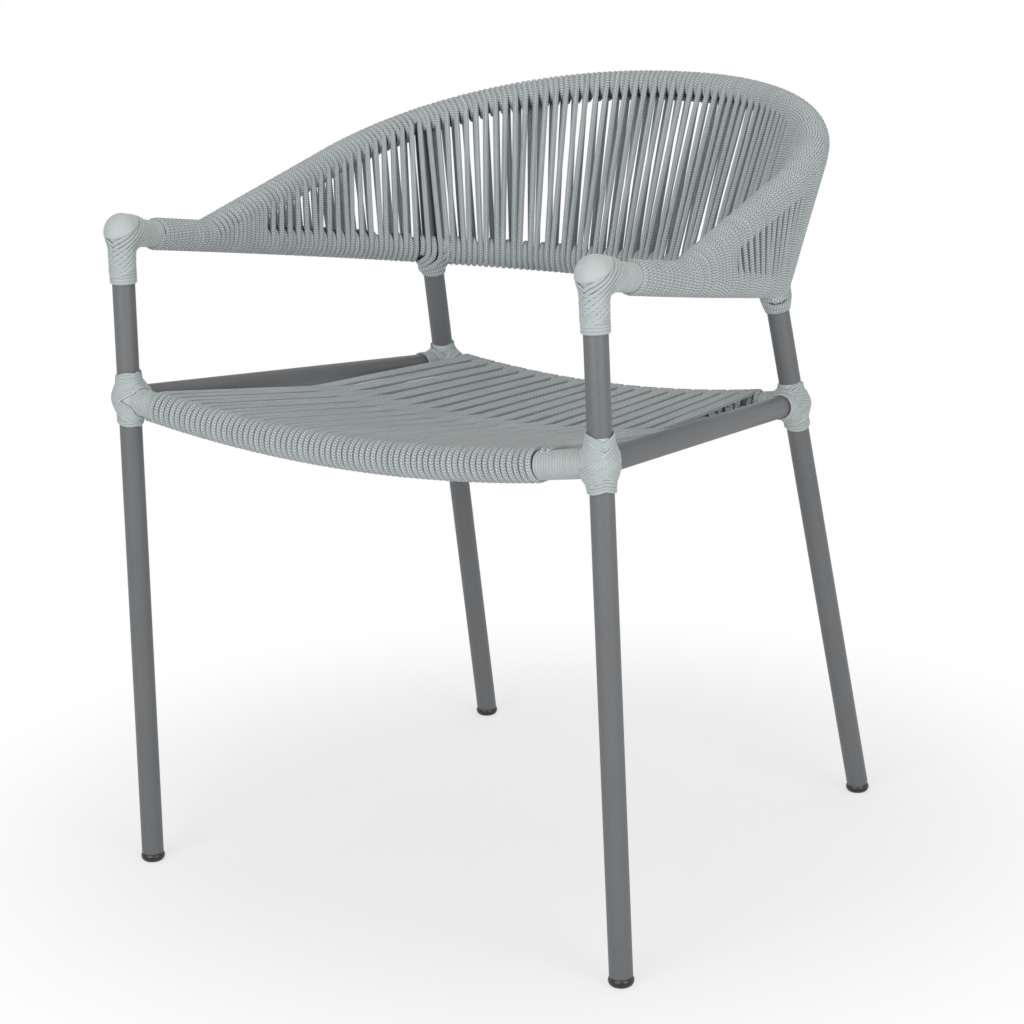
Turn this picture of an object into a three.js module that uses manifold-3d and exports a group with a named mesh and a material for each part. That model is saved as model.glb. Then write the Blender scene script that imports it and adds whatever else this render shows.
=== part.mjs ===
// Rope-wound bistro armchair: a tube frame with a tilted arm rail, a flared top rail and a dipped
// seat, lashed and woven with round braided rope. Millimetres, +Z up, the front faces -Y.
// Y is measured behind the front legs, and the last lines move the origin under the chair's middle.
import * as THREE from 'three';
import { mergeVertices } from 'three/addons/utils/BufferGeometryUtils.js';
import Module from 'manifold-3d';

const wasm = await Module();
wasm.setup();

// Driving dimensions: frame tubes
const tubeDiameter = 22;
const tubeWall = 1.5;
const uprightDiameter = 16;
const fitClearance = 0.3;
const cutBlockSize = 120;
const smallestEdge = 0.01;

// Driving dimensions: legs, taken at the tube centres
const frontFootSpan = 564;
const elbowSpan = 536;
const elbowHeight = 644;
const rearFootSpan = 484;
const rearFootDepth = 532;
const legBottomHeight = 9;

// Driving dimensions: arm rail, one bent tube tilted down to the back
const armWidestSpan = 554;
const armMiddleSpan = 548;
const armStraightDepth = 123;
const armBackDepth = 503;
const armBackHeight = 553;
const armRoundShare = 2.47;
const rearJointInset = 92;

// Driving dimensions: top rail, one bent tube tilted up to the back
const topJoinDepth = 126;
const topMiddleSpan = 546;
const topMiddleDepth = 213;
const topStraightDepth = 300;
const topSideSpan = 538;
const topOverhangDepth = 72;
const topRiseHeight = 180;
const topRoundShare = 2.15;
const uprightTopInset = 134;

// Driving dimensions: seat
const seatFrontHeight = 483;
const seatFrontSag = 24;
const seatRearHeight = 440;
const seatRearSag = 18;

// Driving dimensions: rope and how far the lashings reach from a joint
const ropeThickness = 4.2;
const ropeClearance = 0.6;
const seatBandWidth = 11.2;
const backBandWidth = 9.6;
const elbowKnobRadius = 17.6;
const elbowDrop = 48;
const elbowReach = 66;
const armWrapEndDepth = 166;
const frontJointReach = 28;
const frontRailReach = 50;
const rearJointReach = 24;
const rearRailReach = 28;
const sideRailReach = 24;
const collarReach = 31;
const lashingGap = 1;

// Driving dimensions: glides
const glideDiameter = 24;
const glideHeight = 9.5;
const glideRimHeight = 3;
const glideTaperHeight = 4.5;
const glideEdge = 0.9;
const glideBlankHeight = 19;
const glideStemDiameter = 18;
const glideStemLength = 18;
const glideBottomDiameter = 17;

// Counts
const tubeSides = 12;
const ropeSides = 6;
const bentSteps = 30;
const roundSteps = 14;
const bendSamples = 400;
const straightWeight = 0.8;
const sagSteps = 6;
const wrapTurnSteps = 4;
const seatLoops = 17;
const sideLoops = 15;
const middleLoops = 18;
const glideSides = 16;
const knobSides = 10;

// Colours and surface numbers of the three finishes
const frameColour = 0x6c6f70;
const ropeColour = 0xa3aeab;
const glideColour = 0x1b1c1d;
const frameFinish = { color: frameColour, roughness: 0.5, metalness: 0.35 };
const ropeFinish = { color: ropeColour, roughness: 0.85, metalness: 0 };
const glideFinish = { color: glideColour, roughness: 0.35, metalness: 0 };

// Sizes that follow from the driving ones
const tubeRadius = tubeDiameter / 2;
const boreRadius = tubeRadius - tubeWall;
const copeTrim = tubeDiameter / 4;
const wrapRadius = tubeRadius + ropeClearance + ropeThickness;
// The rope's centre keeps this far from a rail's centre, so that its flats clear the tube
const halfTurnStep = Math.PI / wrapTurnSteps / 2;
const ropePathRadius = (tubeRadius + ropeClearance + ropeThickness / 2) / Math.cos(halfTurnStep);
const ropeOuterReach = ropePathRadius + ropeThickness / 2;
const topBackDepth = armBackDepth + topOverhangDepth;
const topBackHeight = armBackHeight + topRiseHeight;
const rearJointDepth = armBackDepth - rearJointInset;
const uprightTopDepth = topBackDepth - uprightTopInset;
const topRoundBack = topBackDepth - topStraightDepth;
const armRoundBack = armBackDepth - armStraightDepth;
const armSlope = (armBackHeight - elbowHeight) / armBackDepth;
const up = new THREE.Vector3(0, 0, 1);

// A regular polygon whose flats, not its corners, stay outside the radius
function flatsRadius(radius, sides) {
  return radius / Math.cos(Math.PI / sides);
}

// One closed mesh from rings of equally many points, with a fan on each end
function skin(rings) {
  const sides = rings[0].length;
  const points = rings.flat();
  const triangles = [];
  for (let r = 0; r + 1 < rings.length; r++) {
    for (let s = 0; s < sides; s++) {
      const a = r * sides + s;
      const b = r * sides + ((s + 1) % sides);
      triangles.push(a, b, b + sides, a, b + sides, a + sides);
    }
  }
  const last = (rings.length - 1) * sides;
  for (let s = 1; s + 1 < sides; s++) {
    triangles.push(0, s + 1, s, last, last + s, last + s + 1);
  }
  const geometry = new THREE.BufferGeometry().setFromPoints(points);
  geometry.setIndex(triangles);
  return geometry;
}

// A ring of points about a centre, with its own half sizes along two directions
function ringAbout(centre, acrossDirection, outDirection, halfAcross, halfOut, sides) {
  const ring = [];
  for (let s = 0; s < sides; s++) {
    const angle = (2 * Math.PI * s) / sides;
    const point = centre.clone().addScaledVector(acrossDirection, halfAcross * Math.cos(angle));
    ring.push(point.addScaledVector(outDirection, halfOut * Math.sin(angle)));
  }
  return ring;
}

// Shares of a curve's length where its rings stand, closer together where it bends
function stations(curve, steps, from, to) {
  const at = (i) => from + ((to - from) * i) / bendSamples;
  const reach = [0];
  for (let i = 0; i < bendSamples; i++) {
    const bend = curve.getTangentAt(at(i)).angleTo(curve.getTangentAt(at(i + 1)));
    reach.push(reach[i] + straightWeight / bendSamples + bend);
  }
  const shares = [from];
  for (let i = 0; shares.length < steps; i++) {
    if (reach[i] * steps >= reach[bendSamples] * shares.length) shares.push(at(i));
  }
  return [...shares, to];
}

// Solid rod along a curve, from one share of its length to another and past both by an overrun
function rod(curve, radius, steps = 1, from = 0, to = 1, overrun = 0) {
  const rings = stations(curve, steps, from, to).map((at, i) => {
    const tangent = curve.getTangentAt(at);
    const past = i === 0 ? -overrun : i === steps ? overrun : 0;
    const centre = curve.getPointAt(at).addScaledVector(tangent, past);
    const first = new THREE.Vector3().crossVectors(steady(tangent), tangent).normalize();
    const second = new THREE.Vector3().crossVectors(tangent, first);
    return ringAbout(centre, first, second, radius, radius, tubeSides);
  });
  return solidOf(skin(rings));
}

// A direction that is never along the tangent: up for rails, forward for legs
function steady(tangent) {
  return Math.abs(tangent.z) < Math.SQRT1_2 ? up : new THREE.Vector3(0, 1, 0);
}

function solidOf(geometry) {
  const bare = mergeVertices(new THREE.BufferGeometry().copy(geometry).deleteAttribute('normal')
    .deleteAttribute('uv'));
  const mesh = new wasm.Mesh({
    numProp: 3,
    vertProperties: new Float32Array(bare.attributes.position.array),
    triVerts: new Uint32Array(bare.index.array),
  });
  return new wasm.Manifold(mesh);
}

function geometryOf(solid) {
  const mesh = solid.asOriginal().simplify(smallestEdge).getMesh();
  const geometry = new THREE.BufferGeometry();
  geometry.setAttribute('position', new THREE.BufferAttribute(new Float32Array(mesh.vertProperties), 3));
  geometry.setIndex(new THREE.BufferAttribute(new Uint32Array(mesh.triVerts), 1));
  return geometry;
}

function line(start, end) {
  return new THREE.LineCurve3(start, end);
}

// A length as a share of a curve
function share(curve, length) {
  return length / curve.getLength();
}

// A line made longer at its start and its end
function longer(curve, atStart, atEnd) {
  const along = curve.getTangentAt(0);
  const start = curve.getPointAt(0).addScaledVector(along, -atStart);
  return line(start, curve.getPointAt(1).addScaledVector(along, atEnd));
}

// Everything on one side of a plane, as a block to cut with
function beyondPlane(point, normal) {
  const block = new THREE.BoxGeometry(cutBlockSize, cutBlockSize, cutBlockSize);
  block.translate(0, 0, cutBlockSize / 2);
  const turn = new THREE.Quaternion().setFromUnitVectors(up, normal.clone().normalize());
  block.applyQuaternion(turn);
  block.translate(point.x, point.y, point.z);
  return solidOf(block);
}

function mirrored(geometry) {
  const copy = geometry.clone();
  const place = copy.attributes.position;
  for (let i = 0; i < place.count; i++) place.setX(i, -place.getX(i));
  const index = copy.index.array;
  for (let i = 0; i < index.length; i += 3) [index[i], index[i + 1]] = [index[i + 1], index[i]];
  return copy;
}

// Half a rail's plan: a side, then a superellipse round the back. Left end first when mirrored.
function railPlan(sidePoints, span, straightDepth, roundBack, power, heightAt) {
  const half = sidePoints.map(([x, y]) => new THREE.Vector3(x, y, heightAt(y)));
  for (let i = 0; i <= roundSteps; i++) {
    const angle = (Math.PI / 2) * (i / roundSteps);
    const x = (span / 2) * Math.max(0, Math.cos(angle)) ** (2 / power);
    const y = straightDepth + roundBack * Math.sin(angle) ** (2 / power);
    half.push(new THREE.Vector3(x, y, heightAt(y)));
  }
  const left = half.map((p) => new THREE.Vector3(-p.x, p.y, p.z));
  return new THREE.CatmullRomCurve3([...left, ...half.slice(0, -1).reverse()], false, 'centripetal');
}

// Share of a rail's length at which its left half passes a depth
function shareAtDepth(curve, depth) {
  let low = 0;
  let high = 1 / 2;
  for (let i = 0; i < 40; i++) {
    const middle = (low + high) / 2;
    if (curve.getPointAt(middle).y < depth) low = middle;
    else high = middle;
  }
  return low;
}

// Rails
const armHeightAt = (y) => elbowHeight + armSlope * y;
const armSide = [[elbowSpan / 2, 0], [armMiddleSpan / 2, armStraightDepth / 2]];
const armCurve = railPlan(armSide, armWidestSpan, armStraightDepth, armRoundBack, armRoundShare, armHeightAt);
const topJoinShare = shareAtDepth(armCurve, topJoinDepth);
const topJoin = armCurve.getPointAt(topJoinShare);
const topSlope = (topBackHeight - topJoin.z) / (topBackDepth - topJoin.y);
const topHeightAt = (y) => topJoin.z + topSlope * (y - topJoin.y);
const topSide = [[-topJoin.x, topJoin.y], [topMiddleSpan / 2, topMiddleDepth]];
const topCurve = railPlan(topSide, topSideSpan, topStraightDepth, topRoundBack, topRoundShare, topHeightAt);

// Legs on the right side, and the joints that follow from them
const elbow = new THREE.Vector3(elbowSpan / 2, 0, elbowHeight);
const frontFoot = new THREE.Vector3(frontFootSpan / 2, 0, legBottomHeight);
const rearFoot = new THREE.Vector3(rearFootSpan / 2, rearFootDepth, legBottomHeight);
const rearJointShare = shareAtDepth(armCurve, rearJointDepth);
const rearJoint = armCurve.getPointAt(1 - rearJointShare);
const frontLegLine = line(frontFoot, elbow);
const rearLegLine = line(rearFoot, rearJoint);
const uprightTopShare = shareAtDepth(topCurve, uprightTopDepth);
const uprightLine = line(rearJoint, topCurve.getPointAt(1 - uprightTopShare));

function onLegAt(legLine, height) {
  const start = legLine.getPointAt(0);
  const end = legLine.getPointAt(1);
  return start.lerp(end, (height - start.z) / (end.z - start.z));
}

const frontSeatJoint = onLegAt(frontLegLine, seatFrontHeight);
const rearSeatJoint = onLegAt(rearLegLine, seatRearHeight);
const sideRailLine = line(frontSeatJoint, rearSeatJoint);

function flipX(point) {
  return new THREE.Vector3(-point.x, point.y, point.z);
}

// A rail that dips between two legs, left end first
function saggingRail(joint, sag) {
  const lowest = new THREE.Vector3(0, joint.y, joint.z - 2 * sag);
  return new THREE.QuadraticBezierCurve3(flipX(joint), lowest, joint);
}
const frontRailCurve = saggingRail(frontSeatJoint, seatFrontSag);
const rearRailCurve = saggingRail(rearSeatJoint, seatRearSag);

function flipLine(curve) {
  return line(flipX(curve.getPointAt(0)), flipX(curve.getPointAt(1)));
}

// A tube along a curve. The trims keep a coped end short of the other tube's centre line.
function hollow(curve, outerRadius, steps, startTrim = 0, endTrim = 0) {
  const from = share(curve, startTrim);
  const to = 1 - share(curve, endTrim);
  const bore = rod(curve, outerRadius - tubeWall, steps, from, to, tubeWall);
  return rod(curve, outerRadius, steps, from, to).subtract(bore);
}

// The room that a tube takes, with the fit clearance round it
const room = tubeRadius + flatsRadius(fitClearance, tubeSides);
const frontLegRoom = rod(frontLegLine, room);
const rearLegRoom = rod(rearLegLine, room);
const armRoom = rod(armCurve, room, bentSteps);
const topRoom = rod(topCurve, room, bentSteps);
const frontRailRoom = rod(frontRailCurve, room, sagSteps);
const rearRailRoom = rod(rearRailCurve, room, sagSteps);
const sideRailRoom = rod(sideRailLine, room);

// The elbow's mitre plane halves the corner between the leg and the arm
const mitre = frontLegLine.getTangentAt(0).sub(armCurve.getTangentAt(1)).normalize();

function aboveMitre(offset) {
  return beyondPlane(elbow.clone().addScaledVector(mitre, offset), mitre);
}

function belowMitre(offset) {
  return beyondPlane(elbow.clone().addScaledVector(mitre, offset), mitre.clone().negate());
}

function frontLeg() {
  const tube = longer(frontLegLine, 0, tubeDiameter);
  return hollow(tube, tubeRadius, 1).subtract(aboveMitre(-fitClearance / 2));
}

function rearLeg() {
  return hollow(rearLegLine, tubeRadius, 1, 0, copeTrim).subtract(armRoom);
}

// The arm rail is run past each elbow, then cut to the same mitre as the leg
function armRail() {
  const outer = rod(armCurve, tubeRadius, bentSteps, 0, 1, tubeDiameter);
  const inner = rod(armCurve, boreRadius, bentSteps, 0, 1, tubeDiameter + tubeWall);
  const end = belowMitre(fitClearance / 2);
  return outer.subtract(inner).subtract(end).subtract(end.mirror([1, 0, 0]));
}

function topRail() {
  return hollow(topCurve, tubeRadius, bentSteps).subtract(armRoom);
}

function backUpright() {
  const tube = hollow(uprightLine, uprightDiameter / 2, 1);
  return tube.subtract(armRoom).subtract(topRoom);
}

function seatFrontRail() {
  const left = rod(flipLine(frontLegLine), room);
  return hollow(frontRailCurve, tubeRadius, sagSteps, copeTrim, copeTrim)
    .subtract(frontLegRoom).subtract(left);
}

function seatRearRail() {
  const left = rod(flipLine(rearLegLine), room);
  return hollow(rearRailCurve, tubeRadius, sagSteps, copeTrim, copeTrim)
    .subtract(rearLegRoom).subtract(left);
}

function seatSideRail() {
  return hollow(sideRailLine, tubeRadius, 1, copeTrim, copeTrim)
    .subtract(frontLegRoom).subtract(rearLegRoom).subtract(frontRailRoom).subtract(rearRailRoom);
}

// A moulded glide on the leg's axis: stem in the bore, rim under the tube, bottom cut level
function glide(legLine) {
  const rim = glideDiameter / 2;
  const stem = glideStemDiameter / 2;
  const bottom = glideBottomDiameter / 2;
  const profile = [[0, -glideBlankHeight], [bottom, -glideBlankHeight], [bottom, -glideHeight],
    [rim, -glideTaperHeight], [rim, -glideRimHeight], [rim - glideEdge, -fitClearance],
    [stem, -fitClearance], [stem, glideStemLength], [0, glideStemLength]];
  const turned = new THREE.LatheGeometry(profile.map(([x, y]) => new THREE.Vector2(x, y)), glideSides);
  turned.rotateX(Math.PI / 2);
  const along = legLine.getTangentAt(0);
  turned.applyQuaternion(new THREE.Quaternion().setFromUnitVectors(up, along));
  const foot = legLine.getPointAt(0);
  turned.translate(foot.x, foot.y, foot.z);
  return solidOf(turned).subtract(beyondPlane(new THREE.Vector3(foot.x, foot.y, 0), up.clone().negate()));
}

// A stretch of a curve round one end, as a solid lashing before the tubes are cut out of it
function stretchTo(curve, length, fromEnd) {
  const part = share(curve, length);
  return fromEnd ? rod(curve, wrapRadius, sagSteps, 1 - part, 1) : rod(curve, wrapRadius, sagSteps, 0, part);
}

function legStretch(legLine, joint, reach) {
  const along = legLine.getTangentAt(0);
  return rod(line(joint.clone().addScaledVector(along, -reach), joint.clone().addScaledVector(along, reach)),
    wrapRadius);
}

function elbowLashing() {
  const along = frontLegLine.getTangentAt(0);
  const legPart = rod(line(elbow.clone().addScaledVector(along, -elbowDrop), elbow), wrapRadius);
  const armPart = stretchTo(armCurve, elbowReach, true);
  const knob = new THREE.SphereGeometry(elbowKnobRadius, knobSides, knobSides / 2);
  knob.translate(elbow.x, elbow.y, elbow.z);
  const legTop = rod(longer(frontLegLine, 0, tubeDiameter), room).subtract(aboveMitre(fitClearance / 2));
  const armEnd = rod(armCurve, room, bentSteps, 0, 1, tubeDiameter).subtract(belowMitre(-fitClearance / 2));
  return legPart.add(armPart).add(solidOf(knob)).subtract(legTop).subtract(armEnd);
}

// Wraps on the arm, from the elbow lashing to where the top rail has lifted off it
function armWrap() {
  const start = 1 - share(armCurve, elbowReach + lashingGap);
  const end = 1 - shareAtDepth(armCurve, armWrapEndDepth);
  const onArm = rod(armCurve, wrapRadius, sagSteps, end, start);
  const onTop = rod(topCurve, wrapRadius, sagSteps, 1 - shareAtDepth(topCurve, armWrapEndDepth), 1);
  return onArm.add(onTop).subtract(armRoom).subtract(topRoom);
}

function frontSeatLashing() {
  return legStretch(frontLegLine, frontSeatJoint, frontJointReach)
    .add(stretchTo(frontRailCurve, frontRailReach, true))
    .subtract(frontLegRoom).subtract(frontRailRoom).subtract(sideRailRoom);
}

function rearSeatLashing() {
  return legStretch(rearLegLine, rearSeatJoint, rearJointReach)
    .add(stretchTo(rearRailCurve, rearRailReach, true))
    .add(stretchTo(sideRailLine, sideRailReach, true))
    .subtract(rearLegRoom).subtract(rearRailRoom).subtract(sideRailRoom);
}

// Turns on the rear leg just under the woven arm rail
function rearCollar() {
  const along = rearLegLine.getTangentAt(0);
  const low = rearJoint.clone().addScaledVector(along, -collarReach);
  const woven = rod(armCurve, flatsRadius(ropeOuterReach + fitClearance, tubeSides), bentSteps * 2);
  return rod(line(low, rearJoint), wrapRadius).subtract(woven).subtract(rearLegRoom);
}

// Rope paths. A stop holds the band's centre and the direction across it.
// Stops round a rail, turning from one angle to another while moving along it
function turnRound(curve, fromShare, toShare, fromAngle, toAngle, zeroTowards, stops) {
  for (let i = 0; i <= wrapTurnSteps; i++) {
    const part = i / wrapTurnSteps;
    const at = fromShare + (toShare - fromShare) * part;
    const angle = fromAngle + (toAngle - fromAngle) * part;
    const centre = curve.getPointAt(at);
    const across = curve.getTangentAt(at).negate();
    const aim = zeroTowards(at).sub(centre);
    const zero = aim.addScaledVector(across, -aim.dot(across)).normalize();
    const quarter = new THREE.Vector3().crossVectors(zero, across);
    const out = zero.multiplyScalar(Math.cos(angle)).addScaledVector(quarter, Math.sin(angle));
    stops.push({ centre: centre.addScaledVector(out, ropePathRadius), across });
  }
}

// The band's rings, each square to the rope's run
function bandRings(stops, width) {
  return stops.map((stop, i) => {
    const before = stops[Math.max(0, i - 1)].centre;
    const after = stops[Math.min(stops.length - 1, i + 1)].centre;
    const run = after.clone().sub(before).normalize();
    const across = stop.across.clone().addScaledVector(run, -stop.across.dot(run)).normalize();
    return { centre: stop.centre, across, out: new THREE.Vector3().crossVectors(run, across), width };
  });
}

// Two ropes side by side, as one band with six sides
function ropeRings(bands) {
  const halfOut = ropeThickness / 2 / Math.sin((2 * Math.PI) / ropeSides);
  const ringOf = (band) => ringAbout(band.centre, band.across, band.out, band.width / 2, halfOut, ropeSides);
  return bands.map(ringOf);
}

// Least gap of a winding to itself, measured between points on neighbouring loops
function leastGap(rings, ringsPerLoop) {
  const pointSpacing = ropeThickness;
  const loops = [];
  for (let first = 0; first < rings.length; first += ringsPerLoop) {
    const points = [];
    for (let r = first; r < Math.min(first + ringsPerLoop, rings.length - 1); r++) {
      const cuts = Math.ceil(rings[r][0].distanceTo(rings[r + 1][0]) / pointSpacing);
      for (let c = 0; c < cuts; c++) {
        rings[r].forEach((point, s) => points.push(point.clone().lerp(rings[r + 1][s], c / cuts)));
      }
    }
    loops.push(points);
  }
  let least = Infinity;
  for (let i = 0; i + 1 < loops.length; i++) {
    const own = loops[i];
    const next = loops[i + 1].slice(Math.floor(loops[i + 1].length / ringsPerLoop));
    for (const a of own) for (const b of next) least = Math.min(least, a.distanceTo(b));
  }
  return least;
}

function reportGap(name, rings, ringsPerLoop) {
  console.log(`${name}: least gap to itself ${leastGap(rings, ringsPerLoop).toFixed(2)} mm`);
}

// Seat: one rope wound as a figure of eight, over the front rail and under the rear one and back
function seatWeave() {
  const frontEnd = share(frontRailCurve, frontRailReach + lashingGap + seatBandWidth);
  const rearEnd = share(rearRailCurve, rearRailReach + lashingGap + seatBandWidth / 2);
  const frontAt = (part) => frontEnd + (1 - 2 * frontEnd) * part;
  const rearAt = (part) => rearEnd + (1 - 2 * rearEnd) * part;
  const rearPoint = (at) => rearRailCurve.getPointAt(at);
  const frontPoint = (at) => frontRailCurve.getPointAt(at);
  const drop = Math.asin((2 * ropePathRadius) / (rearSeatJoint.y - frontSeatJoint.y));
  const near = Math.PI / 2 - drop;
  const far = 2 * Math.PI - near;
  const stops = [];
  for (let i = 0; i < seatLoops; i++) {
    const over = i / seatLoops;
    const under = (i + 1 / 2) / seatLoops;
    const next = (i + 1) / seatLoops;
    turnRound(rearRailCurve, rearAt(over), rearAt(under), near, far, frontPoint, stops);
    turnRound(frontRailCurve, frontAt(under), frontAt(next), far, near, rearPoint, stops);
  }
  const rings = ropeRings(bandRings(stops, seatBandWidth));
  reportGap('seat_weave', rings, 2 * (wrapTurnSteps + 1));
  return skin(rings);
}

// Back: one rope wound round both rails, in front of them going down and behind them going up
function backWeave(name, lowerFrom, lowerTo, upperFrom, upperTo, loops) {
  const lowerAt = (part) => lowerFrom + (lowerTo - lowerFrom) * part;
  const upperAt = (part) => upperFrom + (upperTo - upperFrom) * part;
  const towardsTop = (at) => topCurve.getPointAt(upperFrom + ((at - lowerFrom) / (lowerTo - lowerFrom))
    * (upperTo - upperFrom));
  const towardsArm = (at) => armCurve.getPointAt(lowerFrom + ((at - upperFrom) / (upperTo - upperFrom))
    * (lowerTo - lowerFrom));
  const quarter = Math.PI / 2;
  const stops = [];
  for (let i = 0; i < loops; i++) {
    const at = i / (loops - 1);
    turnRound(topCurve, upperAt(at), upperAt(at), quarter, 3 * quarter, towardsArm, stops);
    turnRound(armCurve, lowerAt(at), lowerAt(at), quarter, 3 * quarter, towardsTop, stops);
  }
  const rings = ropeRings(bandRings(stops, backBandWidth));
  reportGap(name, rings, 2 * (wrapTurnSteps + 1));
  return skin(rings);
}

function material(finish) {
  return new THREE.MeshStandardMaterial(finish);
}

const assembly = new THREE.Group();

function place(name, geometry, finish) {
  const mesh = new THREE.Mesh(geometry, material(finish));
  mesh.name = name;
  assembly.add(mesh);
}

// A right-hand piece and its mirror image
function placePair(name, solid, finish) {
  const right = geometryOf(solid);
  place(`${name}_right`, right, finish);
  place(`${name}_left`, mirrored(right), finish);
}

place('arm_rail', geometryOf(armRail()), frameFinish);
place('top_rail', geometryOf(topRail()), frameFinish);
place('seat_front_rail', geometryOf(seatFrontRail()), frameFinish);
place('seat_rear_rail', geometryOf(seatRearRail()), frameFinish);
placePair('front_leg', frontLeg(), frameFinish);
placePair('rear_leg', rearLeg(), frameFinish);
placePair('back_upright', backUpright(), frameFinish);
placePair('seat_side_rail', seatSideRail(), frameFinish);
placePair('front_glide', glide(frontLegLine), glideFinish);
placePair('rear_glide', glide(rearLegLine), glideFinish);
placePair('elbow_lashing', elbowLashing(), ropeFinish);
placePair('arm_wrap', armWrap(), ropeFinish);
placePair('front_seat_lashing', frontSeatLashing(), ropeFinish);
placePair('rear_seat_lashing', rearSeatLashing(), ropeFinish);
placePair('rear_collar', rearCollar(), ropeFinish);
place('seat_weave', seatWeave(), ropeFinish);

// The back is woven in three lengths of rope, which the two uprights part
const legRoom = share(armCurve, tubeRadius + fitClearance + backBandWidth);
const uprightRoom = share(topCurve, backBandWidth);
const lowerStart = shareAtDepth(armCurve, armWrapEndDepth) + share(armCurve, backBandWidth);
const upperStart = shareAtDepth(topCurve, armWrapEndDepth) + share(topCurve, backBandWidth);
place('back_weave_left', backWeave('back_weave_left', lowerStart, rearJointShare - legRoom, upperStart,
  uprightTopShare - uprightRoom, sideLoops), ropeFinish);
place('back_weave_middle', backWeave('back_weave_middle', rearJointShare + legRoom,
  1 - rearJointShare - legRoom, uprightTopShare + uprightRoom, 1 - uprightTopShare - uprightRoom,
  middleLoops), ropeFinish);
place('back_weave_right', backWeave('back_weave_right', 1 - rearJointShare + legRoom, 1 - lowerStart,
  1 - uprightTopShare + uprightRoom, 1 - upperStart, sideLoops), ropeFinish);

// The origin goes under the middle of the chair's box
const box = new THREE.Box3().setFromObject(assembly);
assembly.position.y = -(box.min.y + box.max.y) / 2;
const chair = new THREE.Group();
chair.add(assembly);

export default chair;
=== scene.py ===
"""Rope bistro chair: smooth tubes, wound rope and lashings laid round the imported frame."""
import math

import bpy
import numpy as np
from bpy.props import FloatProperty, FloatVectorProperty, IntProperty, PointerProperty
from mathutils import Matrix, Vector


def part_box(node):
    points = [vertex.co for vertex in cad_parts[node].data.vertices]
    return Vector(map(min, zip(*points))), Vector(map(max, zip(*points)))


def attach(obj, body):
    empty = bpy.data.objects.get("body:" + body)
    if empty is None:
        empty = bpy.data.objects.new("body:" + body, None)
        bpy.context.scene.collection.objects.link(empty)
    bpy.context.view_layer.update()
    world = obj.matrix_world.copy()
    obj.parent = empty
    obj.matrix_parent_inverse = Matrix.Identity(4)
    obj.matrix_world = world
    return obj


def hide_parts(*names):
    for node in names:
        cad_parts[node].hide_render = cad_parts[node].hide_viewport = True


bl_info = {
    "name": "Rope bistro chair",
    "version": (1, 0, 0),
    "blender": (4, 5, 0),
    "location": "View3D > Sidebar > Rope chair",
    "description": "Winds and lashes the rope of a tube-frame bistro armchair",
    "category": "Object",
}

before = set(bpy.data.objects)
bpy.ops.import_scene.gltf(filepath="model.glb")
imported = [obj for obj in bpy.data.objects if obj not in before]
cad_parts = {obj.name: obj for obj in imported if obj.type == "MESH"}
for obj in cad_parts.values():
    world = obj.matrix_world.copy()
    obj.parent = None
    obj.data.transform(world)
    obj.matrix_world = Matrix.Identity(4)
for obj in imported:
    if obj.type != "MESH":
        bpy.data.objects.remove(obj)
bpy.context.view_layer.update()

MM = 0.001
BODY = "root"
UP = np.array((0.0, 0.0, 1.0))
FORWARD = np.array((0.0, -1.0, 0.0))
FLIP_X = np.array((-1.0, 1.0, 1.0))
SIDES = (("right", np.ones(3)), ("left", FLIP_X))
TURN = 2 * math.pi
QUARTER = math.pi / 2

# Sizes in millimetres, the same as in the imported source, with Y measured from the front legs
TUBE_RADIUS = 11.0
UPRIGHT_RADIUS = 8.0
ELBOW = np.array((268.0, 0.0, 644.0))
FRONT_FOOT = np.array((282.0, 0.0, 9.0))
REAR_FOOT = np.array((242.0, 532.0, 9.0))
REAR_JOINT_DEPTH = 411.0
UPRIGHT_TOP_DEPTH = 441.0
TOP_JOIN_DEPTH = 126.0
ARM_BACK = (503.0, 553.0)
TOP_BACK = (575.0, 733.0)
ARM_PLAN = {"sides": ((268.0, 0.0), (274.0, 61.5)), "span": 554.0, "straight": 123.0, "back": 380.0,
            "power": 2.47}
TOP_PLAN = {"sides": ((273.0, 213.0),), "span": 538.0, "straight": 300.0, "back": 275.0, "power": 2.15}
SEAT_FRONT_HEIGHT, SEAT_FRONT_SAG = 483.0, 24.0
SEAT_REAR_HEIGHT, SEAT_REAR_SAG = 440.0, 18.0


def unit(vectors):
    """One direction, or rows of them, at length one."""
    return vectors / np.linalg.norm(vectors, axis=-1, keepdims=True)


def square_to(vector, axis):
    """The part of a direction that is square to an axis, at length one."""
    return unit(vector - axis * (vector @ axis))


# Rails
class Rail:
    """A centre line that is asked for its points by length along it."""

    def __init__(self, points):
        self.points = np.asarray(points, float)
        steps = np.linalg.norm(np.diff(self.points, axis=0), axis=1)
        self.reach = np.concatenate(([0.0], np.cumsum(steps)))
        self.length = self.reach[-1]

    def at(self, length):
        return np.array([np.interp(length, self.reach, self.points[:, i]) for i in range(3)])

    def along(self, length):
        return unit(self.at(min(length + 1.0, self.length)) - self.at(max(length - 1.0, 0.0)))

    def at_depth(self, depth):
        half = len(self.points) // 2
        return float(np.interp(depth, self.points[:half, 1], self.reach[:half]))

    def at_side(self, x):
        return float(np.interp(x, self.points[:, 0], self.reach))


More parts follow.
